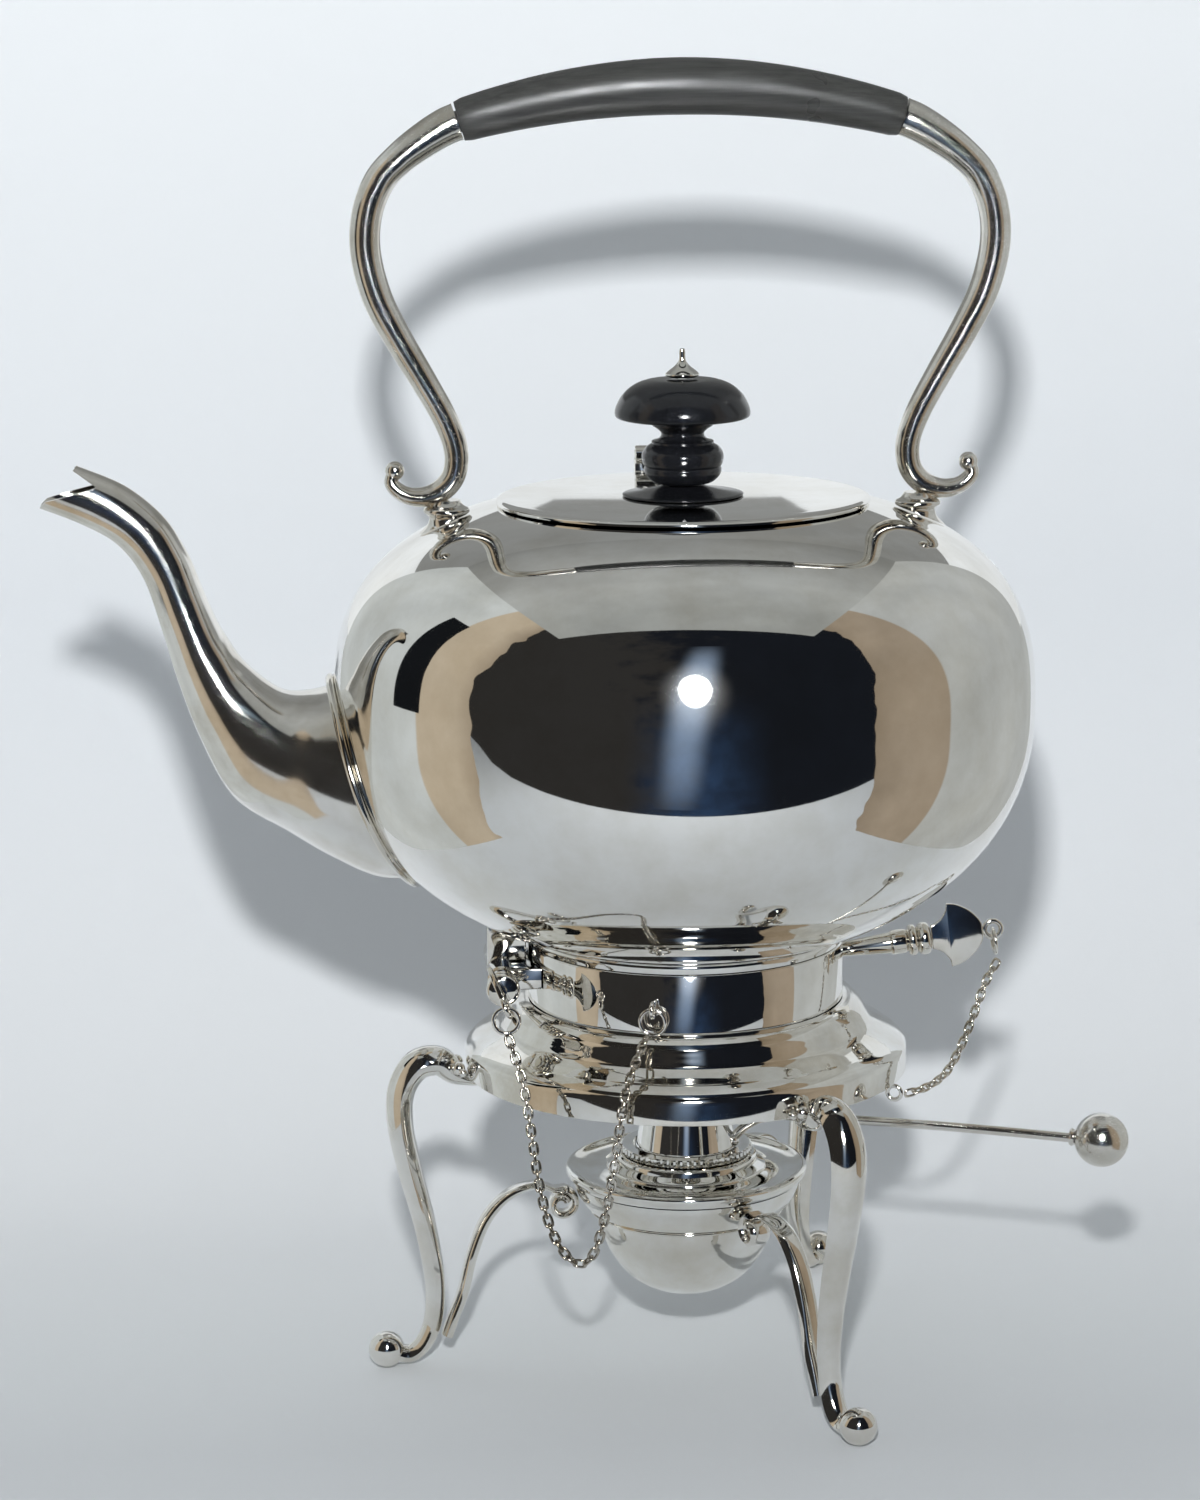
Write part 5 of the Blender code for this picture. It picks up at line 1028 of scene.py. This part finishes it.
def makeKnob(values):
    low = values["bottom"]
    disc = profile(
        [(1.5, low + 2.2), (4.9, low + 2.2)],
        [(4.9, low + 2.2), (7.0, low + 1.6), (10.4, low + 0.9), (13.9, low + 0.4)],
        [(13.9, low + 0.4), (14.4, low + 0.2), (14.3, low - 0.1), (14.0, low - 0.2)],
        [(14.0, low - 0.2), (1.5, low - 0.2)])
    turned("knobDisc", disc, "lid", ebony["polishedEbony"], ["knob_disc"], 96, True, slot="gloss_ebony")
    stem = profile(
        [(1.5, low + 17.4), (7.1, low + 17.4)],
        [(7.1, low + 17.4), (7.2, low + 16.9), (7.1, low + 16.3)],
        [(7.1, low + 16.3), (6.0, low + 15.6), (5.2, low + 14.8), (5.15, low + 14.1), (5.8, low + 13.3), (7.1, low + 12.9)],
        [(7.1, low + 12.9), (7.4, low + 12.7), (7.35, low + 12.2)],
        [(7.35, low + 12.2), (8.6, low + 11.4), (9.6, low + 10.0), (9.7, low + 8.6), (9.4, low + 7.3), (8.95, low + 6.75)],
        [(8.95, low + 6.75), (9.2, low + 6.3), (9.1, low + 5.2), (8.2, low + 3.9), (6.8, low + 2.9), (4.9, low + 2.5)],
        [(4.9, low + 2.5), (1.5, low + 2.5)])
    turned("knobStem", stem, "lid", ebony["polishedEbony"], ["knob_stem"], 96, True, slot="gloss_ebony")
    cap = profile(
        [(1.5, low + 27.5), (5.6, low + 27.5)],
        [(5.6, low + 27.5), (8.4, low + 27.2), (11.6, low + 26.0), (14.2, low + 23.8), (15.7, low + 21.2),
         (16.1, low + 19.4), (15.6, low + 18.4), (13.4, low + 17.85), (9.0, low + 17.7)],
        [(9.0, low + 17.7), (1.5, low + 17.7)])
    turned("knobCap", cap, "lid", ebony["polishedEbony"], ["knob_cap"], 112, True, slot="gloss_ebony")
    finial = profile(
        [(0, low + 34.6), (0.55, low + 34.5), (0.75, low + 33.9), (0.8, low + 32.4), (1.1, low + 31.4), (1.9, low + 30.4),
         (3.2, low + 29.4), (3.95, low + 28.7)],
        [(3.95, low + 28.7), (4.0, low + 28.3), (3.2, low + 27.8)],
        [(3.2, low + 27.8), (0, low + 27.8)])
    turned("knobFinial", finial, "lid", silver["turnedSilver"], ["knob_finial"], 64)
    bolt = [(0, low + 27.5), (1.2, low + 27.5), (1.2, low - 3.8), (0, low - 3.8)]
    turned("knobBolt", bolt, "lid", silver["turnedSilver"], ["knob_bolt"], 24)
    nut = [(1.5, low - 1.5), (2.9, low - 1.5), (3.2, low - 1.8), (3.2, low - 3.2), (2.9, low - 3.5), (1.5, low - 3.5)]
    turned("knobNut", nut, "lid", silver["turnedSilver"], ["knob_nut"], 6, True, sharp=20)


makeKnob(knobValues)

lidHingeValues = {"y": 47.5, "z": 217.809, "barrel": 2.3, "length": 16.0, "middle": 5.6, "leaf": 1.0, "reach": 11.0}


def barrelLoop(radius, bore, length, edge=0.2):
    half = length / 2
    return [(bore, half), (radius - edge, half), (radius, half - edge), (radius, edge - half), (radius - edge, -half),
            (bore, -half)]


def makeLidHinge(values):
    sideways = Vector((1, 0, 0))
    half = values["middle"] / 2
    sideLength = (values["length"] - values["middle"]) / 2 - 0.3
    sideMiddle = half + 0.3 + sideLength / 2
    for name, node, x in (("lidHingeLeft", "body_knuckle_left", -sideMiddle), ("lidHingeRight", "body_knuckle_right", sideMiddle)):
        build = turn(bmesh.new(), barrelLoop(values["barrel"], 1.3, sideLength), 40, True,
                     matrix=axisMatrix(at(x, values["y"], values["z"]), sideways))
        low = (x - sideLength / 2, values["y"] + 0.1, 208)
        high = (x + sideLength / 2, values["y"] + 4.6, values["z"] - 1.5)
        post = loosePiece("post", block(bmesh.new(), low, high, 0.2))
        cut = cutWith(post, [bodyCutter()])
        mesh = bpy.data.meshes.new("post")
        cut.to_mesh(mesh)
        cut.free()
        build.from_mesh(mesh)
        finishPiece(name, build, "kettle", silver["castSilver"], [node])
    build = turn(bmesh.new(), barrelLoop(values["barrel"], 1.3, values["middle"]), 40, True,
                 matrix=axisMatrix(at(0, values["y"], values["z"]), sideways))
    leafLow = lidValues["under"] + lidValues["thick"] + 0.3
    block(build, (-half, values["y"] - values["reach"], leafLow), (half, values["y"] - 0.5, leafLow + values["leaf"]), 0.2)
    block(build, (-half, values["y"] - 1.2, leafLow), (half, values["y"] + 0.6, values["z"] - 1.5), 0.1)
    finishPiece("lidHingeLeaf", build, "lid", silver["castSilver"], ["lid_knuckle"])
    pin = [(0, 8.0), (0.8, 8.0), (1.0, 7.8), (1.0, -7.8), (0.8, -8.0), (0, -8.0)]
    turned("lidHingePin", pin, "kettle", silver["castSilver"], ["lid_hinge_pin"], 24,
           matrix=axisMatrix(at(0, values["y"], values["z"]), sideways))


makeLidHinge(lidHingeValues)
print("lid made")

handleValues = {
    "span": 52.1, "crown": 310.1, "drop": 7.6, "crownRadius": 6.65, "endRadius": 5.0, "reach": 74.2, "arm": 4.2,
    "equator": 164.5,
    "line": (
        (0.678, 0.9519, 1.05), (0.740, 0.9402, 1.04), (0.815, 0.9176, 0.98), (0.889, 0.8894, 0.90),
        (0.951, 0.8551, 0.87), (0.992, 0.8036, 0.86), (0.999, 0.7418, 0.86), (0.965, 0.6696, 0.85),
        (0.900, 0.6023, 0.80), (0.828, 0.5385, 0.75), (0.757, 0.4718, 0.71), (0.724, 0.4210, 0.69),
        (0.732, 0.3805, 0.67), (0.775, 0.3547, 0.64), (0.835, 0.3451, 0.56), (0.893, 0.3504, 0.48),
        (0.930, 0.3685, 0.42), (0.920, 0.3887, 0.38)),
}


def makeHandle(values):
    rows = 60
    path, radii = [], []
    for row in range(rows + 1):
        share = 2 * row / rows - 1
        x = share * (values["span"] - 0.3)
        path.append(at(x, 0, values["crown"] - values["drop"] * (x / values["span"]) ** 2))
        radii.append(values["crownRadius"] + (values["endRadius"] - values["crownRadius"]) * abs(share) ** 1.6)
    radii[0] -= 0.35
    radii[-1] -= 0.35
    build = wire(bmesh.new(), path, radii, 48)
    slope = 2 * values["drop"] / values["span"]
    for side in (-1, 1):
        end = at(side * values["span"], 0, values["crown"] - values["drop"])
        outward = Vector((side, 0, -slope)).normalized()
        tenon = [(0, 5.0), (2.4, 5.0), (2.6, 4.8), (2.6, -3), (0, -3)]
        turn(build, tenon, 32, matrix=axisMatrix(end, outward))
    finishPiece("handleGrip", build, "kettle", ebony["handledEbony"], ["handle_grip"], slot="satin_ebony", sharp=45)
    for side, label in ((-1, "Left"), (1, "Right")):
        node = label.lower()
        end = at(side * values["span"], 0, values["crown"] - values["drop"])
        outward = Vector((side, 0, -slope)).normalized()
        rise = values["crown"] - values["equator"]
        line = smoothLine([(out * values["reach"], values["equator"] + up * rise, share * values["arm"])
                           for out, up, share in values["line"]], 150)
        kept = [item for item in line if (at(side * item[0], 0, item[1]) - end).dot(outward) > 0.5 * mm or item[1] < 250]
        path = [end + outward * 0.1 * mm] + [at(side * out, 0, up) for out, up, radius in kept]
        radii = [kept[0][2] * 1.02] + [radius for out, up, radius in kept]
        depths = [1 + 0.32 * min(min(row, len(path) - 1 - row) / 25, 1) for row in range(len(path))]
        build = wire(bmesh.new(), path, radii, 36, True, depths)
        # the button that ends the scroll
        bead(build, path[-1], 2.3)
        finishPiece("handleArm" + label, build, "kettle", silver["wornSilver"], ["handle_arm_" + node], sharp=60)
        pinPlace = end + outward * 2.5 * mm
        pin = profile([(0, 4.55), (0.5, 4.5), (0.8, 4.3)], [(0.8, 4.3), (0.8, -4.3)], [(0.8, -4.3), (0.5, -4.5), (0, -4.55)])
        turned("gripPin" + label, pin, "kettle", silver["turnedSilver"], ["grip_pin_" + node], 24,
               matrix=axisMatrix(pinPlace, Vector((0, -1, 0))))
        low = bodyHeight(63.4) - 0.3
        high = 214.0 - low
        stub = profile(
            [(0, low + high), (3.3, low + high)],
            [(3.3, low + high), (4.1, low + 0.86 * high), (5.3, low + 0.78 * high), (5.4, low + 0.68 * high),
             (4.6, low + 0.60 * high), (4.2, low + 0.50 * high), (4.7, low + 0.34 * high), (6.4, low + 0.14 * high),
             (7.2, low)],
            [(7.2, low), (0, low)])
        skin = loosePiece("stub", turn(bmesh.new(), stub, 48, centre=(side * 56.2, 0)))
        finishPiece("handleStub" + label, cutWith(skin, [bodyCutter()]), "kettle", silver["handledSilver"],
                    ["handle_stub_" + node], sharp=50)


makeHandle(handleValues)
print("handle made")

tiltValues = {"x": -45.2, "z": 100.0, "barrel": 3.4, "bore": 1.9, "kettleLength": 11.0, "standLength": 8.7}


def makeTiltHinge(values):
    towards = Vector((0, -1, 0))
    middle = values["kettleLength"] / 2 + 0.3 + values["standLength"] / 2
    for name, node, y in (("hingeKnuckleNear", "hinge_knuckle_near", -middle), ("hingeKnuckleFar", "hinge_knuckle_far", middle)):
        build = turn(bmesh.new(), barrelLoop(values["barrel"], values["bore"], values["standLength"], 0.35), 48, True,
                     matrix=axisMatrix(at(values["x"], y, values["z"]), towards))
        half = values["standLength"] / 2
        leaf = loosePiece("leaf", block(bmesh.new(), (values["x"] + 2.0, y - half, values["z"] - 2.5),
                                        (-30, y + half, values["z"] + 2.5), 0.3))
        collar = turn(bmesh.new(), [(0, 60), (38.6, 60), (38.6, 130), (0, 130)], 128)
        cut = cutWith(leaf, [loosePiece("collarCutter", collar)])
        mesh = bpy.data.meshes.new("leaf")
        cut.to_mesh(mesh)
        cut.free()
        build.from_mesh(mesh)
        finishPiece(name, build, "stand", silver["castSilver"], [node])
    build = turn(bmesh.new(), barrelLoop(values["barrel"], values["bore"], values["kettleLength"], 0.35), 48, True,
                 matrix=axisMatrix(at(values["x"], 0, values["z"]), towards))
    half = values["kettleLength"] / 2
    post = loosePiece("post", block(bmesh.new(), (values["x"] - 3.05, -half, values["z"] + 1.2), (-38.9, half, 125), 0.3))
    slab = block(bmesh.new(), (values["x"] + 2.2, -half, values["z"]), (-38.9, half, values["z"] + 3.0), 0.3)
    for source in (cutWith(post, [bodyCutter()]), slab):
        mesh = bpy.data.meshes.new("lugPart")
        source.to_mesh(mesh)
        source.free()
        build.from_mesh(mesh)
    finishPiece("hingeLug", build, "kettle", silver["castSilver"], ["hinge_lug"])


makeTiltHinge(tiltValues)

pinValues = {"reel": 4.0, "reelLength": 10.0, "plateLength": 13.0, "plateHalf": 8.0, "thick": 1.2, "eye": 2.7, "hole": 1.4}
pinPlate = ((0.00, 0.37), (0.10, 0.42), (0.22, 0.56), (0.31, 0.78), (0.33, 1.00), (0.52, 0.93),
            (0.74, 0.72), (0.90, 0.44), (0.97, 0.22))


def makePin(name, body, tip, along, tipRadius, shaftRadius, shaftLength, across, values):
    start = shaftLength
    length = values["reelLength"]
    reel = profile(
        [(2.8, start + length), (3.7, start + 0.95 * length), (4.0, start + 0.84 * length), (3.7, start + 0.72 * length),
         (2.9, start + 0.67 * length)],
        [(2.9, start + 0.67 * length), (3.6, start + 0.63 * length), (3.85, start + 0.54 * length),
         (3.5, start + 0.46 * length), (2.6, start + 0.42 * length)],
        [(2.6, start + 0.42 * length), (2.95, start + 0.36 * length), (3.0, start + 0.20 * length),
         (2.95, start + 0.05 * length), (2.6, start)], steps=5)
    shaft = [(shaftRadius, start), (tipRadius, 1.2), (tipRadius * 0.6, 0.2), (0, 0)]
    place = axisMatrix(tip, along)
    turned(name, [(0, start + length)] + reel + shaft, body, silver["turnedSilver"], [snake(name)], 48, matrix=place)
    begin = start + length + 0.3
    side = [(half * values["plateHalf"], begin + out * values["plateLength"])
            for out, half in smoothLine(pinPlate[:4], 13) + smoothLine(pinPlate[4:], 21)]
    eyeMiddle = begin + values["plateLength"] + values["eye"] * 0.8
    outline = side + [(-x, y) for x, y in reversed(side)]
    build = bmesh.new()
    verts = [build.verts.new((x * mm, y * mm, -values["thick"] / 2 * mm)) for x, y in outline]
    face = build.faces.new(verts)
    made = bmesh.ops.extrude_face_region(build, geom=[face])
    moved = [item for item in made["geom"] if isinstance(item, bmesh.types.BMVert)]
    bmesh.ops.translate(build, verts=moved, vec=(0, 0, values["thick"] * mm))
    rim = [edge for edge in build.edges if abs(edge.verts[0].co.z - edge.verts[1].co.z) < 0.01 * mm]
    bmesh.ops.bevel(build, geom=rim, offset=0.28 * mm, segments=3, profile=0.5, affect="EDGES", material=-1)
    ringLoop(build, Vector((0, eyeMiddle * mm, 0)), upright, (values["eye"] + values["hole"]) / 2,
             (values["eye"] - values["hole"]) / 2, 12, 36)
    normal = across.cross(along)
    turnTo = Matrix((across, along, normal)).transposed().to_4x4()
    bmesh.ops.transform(build, matrix=Matrix.Translation(tip) @ turnTo, verts=build.verts)
    finishPiece(name + "Plate", build, body, silver["castSilver"], [snake(name) + "_plate"], sharp=50)
    eye = tip + along * eyeMiddle * mm
    down = Vector((0, 0, -1))
    hang = (down - along * down.dot(along)).normalized()
    build = ringLoop(bmesh.new(), eye + hang * 3.0 * mm, along, 3.0, 0.5, 12, 40)
    finishPiece(name + "Ring", build, body, silver["castSilver"], [snake(name) + "_ring"], sharp=60)


def snake(name):
    return "".join("_" + letter.lower() if letter.isupper() else letter for letter in name)


def makePins(values):
    shaft = tiltValues["kettleLength"] + 2 * (tiltValues["standLength"] + 0.3) + 0.6
    roll = math.radians(26)
    makePin("frontPin", "front_pin", at(tiltValues["x"], shaft / 2, tiltValues["z"]), Vector((0, -1, 0)), 1.6, 1.6, shaft,
            Vector((-math.sin(roll), 0, math.cos(roll))), values)
    slope = math.radians(6.4)
    makePin("rearPin", "rear_pin", at(34.0, 0, 101.4), Vector((math.cos(slope), 0, math.sin(slope))), 1.5, 2.6, 16.2,
            Vector((-math.sin(slope), 0, math.cos(slope))), values)


makePins(pinValues)

chainValues = {
    "wide": 0.88, "long": 1.40, "wire": 0.36, "pitch": 2.12,
    "front": (
        (-44.8, -41.0, 93.3), (-41.8, -44.6, 83.5), (-40.0, -48.2, 72.0), (-38.4, -51.0, 60.0), (-36.0, -53.0, 50.5),
        (-32.8, -54.5, 44.6), (-29.2, -55.3, 42.4), (-26.3, -55.7, 44.8), (-24.1, -55.9, 51.5), (-22.2, -55.8, 60.0),
        (-20.7, -55.5, 69.0), (-19.5, -54.9, 77.2), (-18.2, -52.8, 82.8), (-16.7, -50.0, 86.2), (-15.0, -47.4, 89.5),
        (-12.8, -43.2, 93.0)),
    "rear": (
        (76.2, -2.4, 98.6), (73.0, -4.6, 93.8), (69.8, -7.5, 86.8), (66.2, -11.5, 80.2), (62.2, -16.0, 75.2),
        (58.2, -19.7, 73.1), (54.5, -22.1, 72.3), (51.2, -23.3, 71.8)),
}


def evenly(points, pitch):
    dense = [Vector(point) for point in smoothLine(points, 600)]
    total = sum((b - a).length for a, b in zip(dense, dense[1:]))
    count = max(round(total / pitch), 2)
    step = total / count
    found = []
    walked = 0
    wanted = step / 2
    for first, second in zip(dense, dense[1:]):
        gap = (second - first).length
        while wanted <= walked + gap and len(found) < count:
            found.append((first.lerp(second, (wanted - walked) / gap), (second - first).normalized()))
            wanted += step
        walked += gap
    return found


def link(build, values):
    # one wire link, nearly square at its corners
    before = set(build.verts)
    loop = [(1 + values["wire"] * math.cos(t), values["wire"] * math.sin(t))
            for t in (2 * math.pi * i / 6 for i in range(6))]
    turn(build, loop, 16, True, matrix=Matrix.Identity(4))
    for vert in build.verts:
        if vert not in before:
            flat = Vector((vert.co.x, vert.co.y))
            t = math.atan2(flat.y, flat.x)
            over = flat.length - 1 * mm
            corner = (math.cos(t) ** 4 + math.sin(t) ** 4) ** -0.25
            vert.co.x = math.cos(t) * (corner * values["long"] * mm + over)
            vert.co.y = math.sin(t) * (corner * values["wide"] * mm + over)


def makeChain(name, node, points, values):
    build = bmesh.new()
    for number, (place, along) in enumerate(evenly(points, values["pitch"])):
        side = along.cross(Vector((0, 1, 0.2))).normalized()
        normal = side if number % 2 else along.cross(side)
        before = set(build.verts)
        link(build, values)
        fresh = [vert for vert in build.verts if vert not in before]
        lay = Matrix((along, normal.cross(along), normal)).transposed().to_4x4()
        bmesh.ops.transform(build, matrix=Matrix.Translation(at(*place)) @ lay, verts=fresh)
    piece = finishPiece(name, build, None, silver["chainSilver"], [node], sharp=70, slack=0.001)
    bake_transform(piece)


def makeChains(values):
    makeChain("frontChain", "front_chain", values["front"], values)
    makeChain("rearChain", "rear_chain", values["rear"], values)
    turnDegrees = 254.5
    t = math.radians(turnDegrees)
    tangent = Vector((-math.sin(t), math.cos(t), 0))
    outward = Vector((math.cos(t), math.sin(t), 0))
    frontEye = radial(turnDegrees, 38.3 + 0.3 + 2.25, 98.5)
    build = ringLoop(bmesh.new(), frontEye, tangent, 1.7, 0.55, 12, 32)
    finishPiece("frontChainEye", build, "stand", silver["castSilver"], ["front_chain_eye"], sharp=60)
    build = ringLoop(bmesh.new(), frontEye - upright * 3.0 * mm, outward, 3.0, 0.5, 12, 40)
    finishPiece("frontChainRing", build, "stand", silver["castSilver"], ["front_chain_ring"], sharp=60)
    t = math.radians(-24.5)
    rearEye = radial(-24.5, 53.2, 74.3 - 0.3 - 2.25)
    build = ringLoop(bmesh.new(), rearEye, Vector((-math.sin(t), math.cos(t), 0)), 1.7, 0.55, 12, 32)
    finishPiece("rearChainEye", build, "stand", silver["castSilver"], ["rear_chain_eye"], sharp=60)


makeChains(chainValues)
print("pins and chains made")
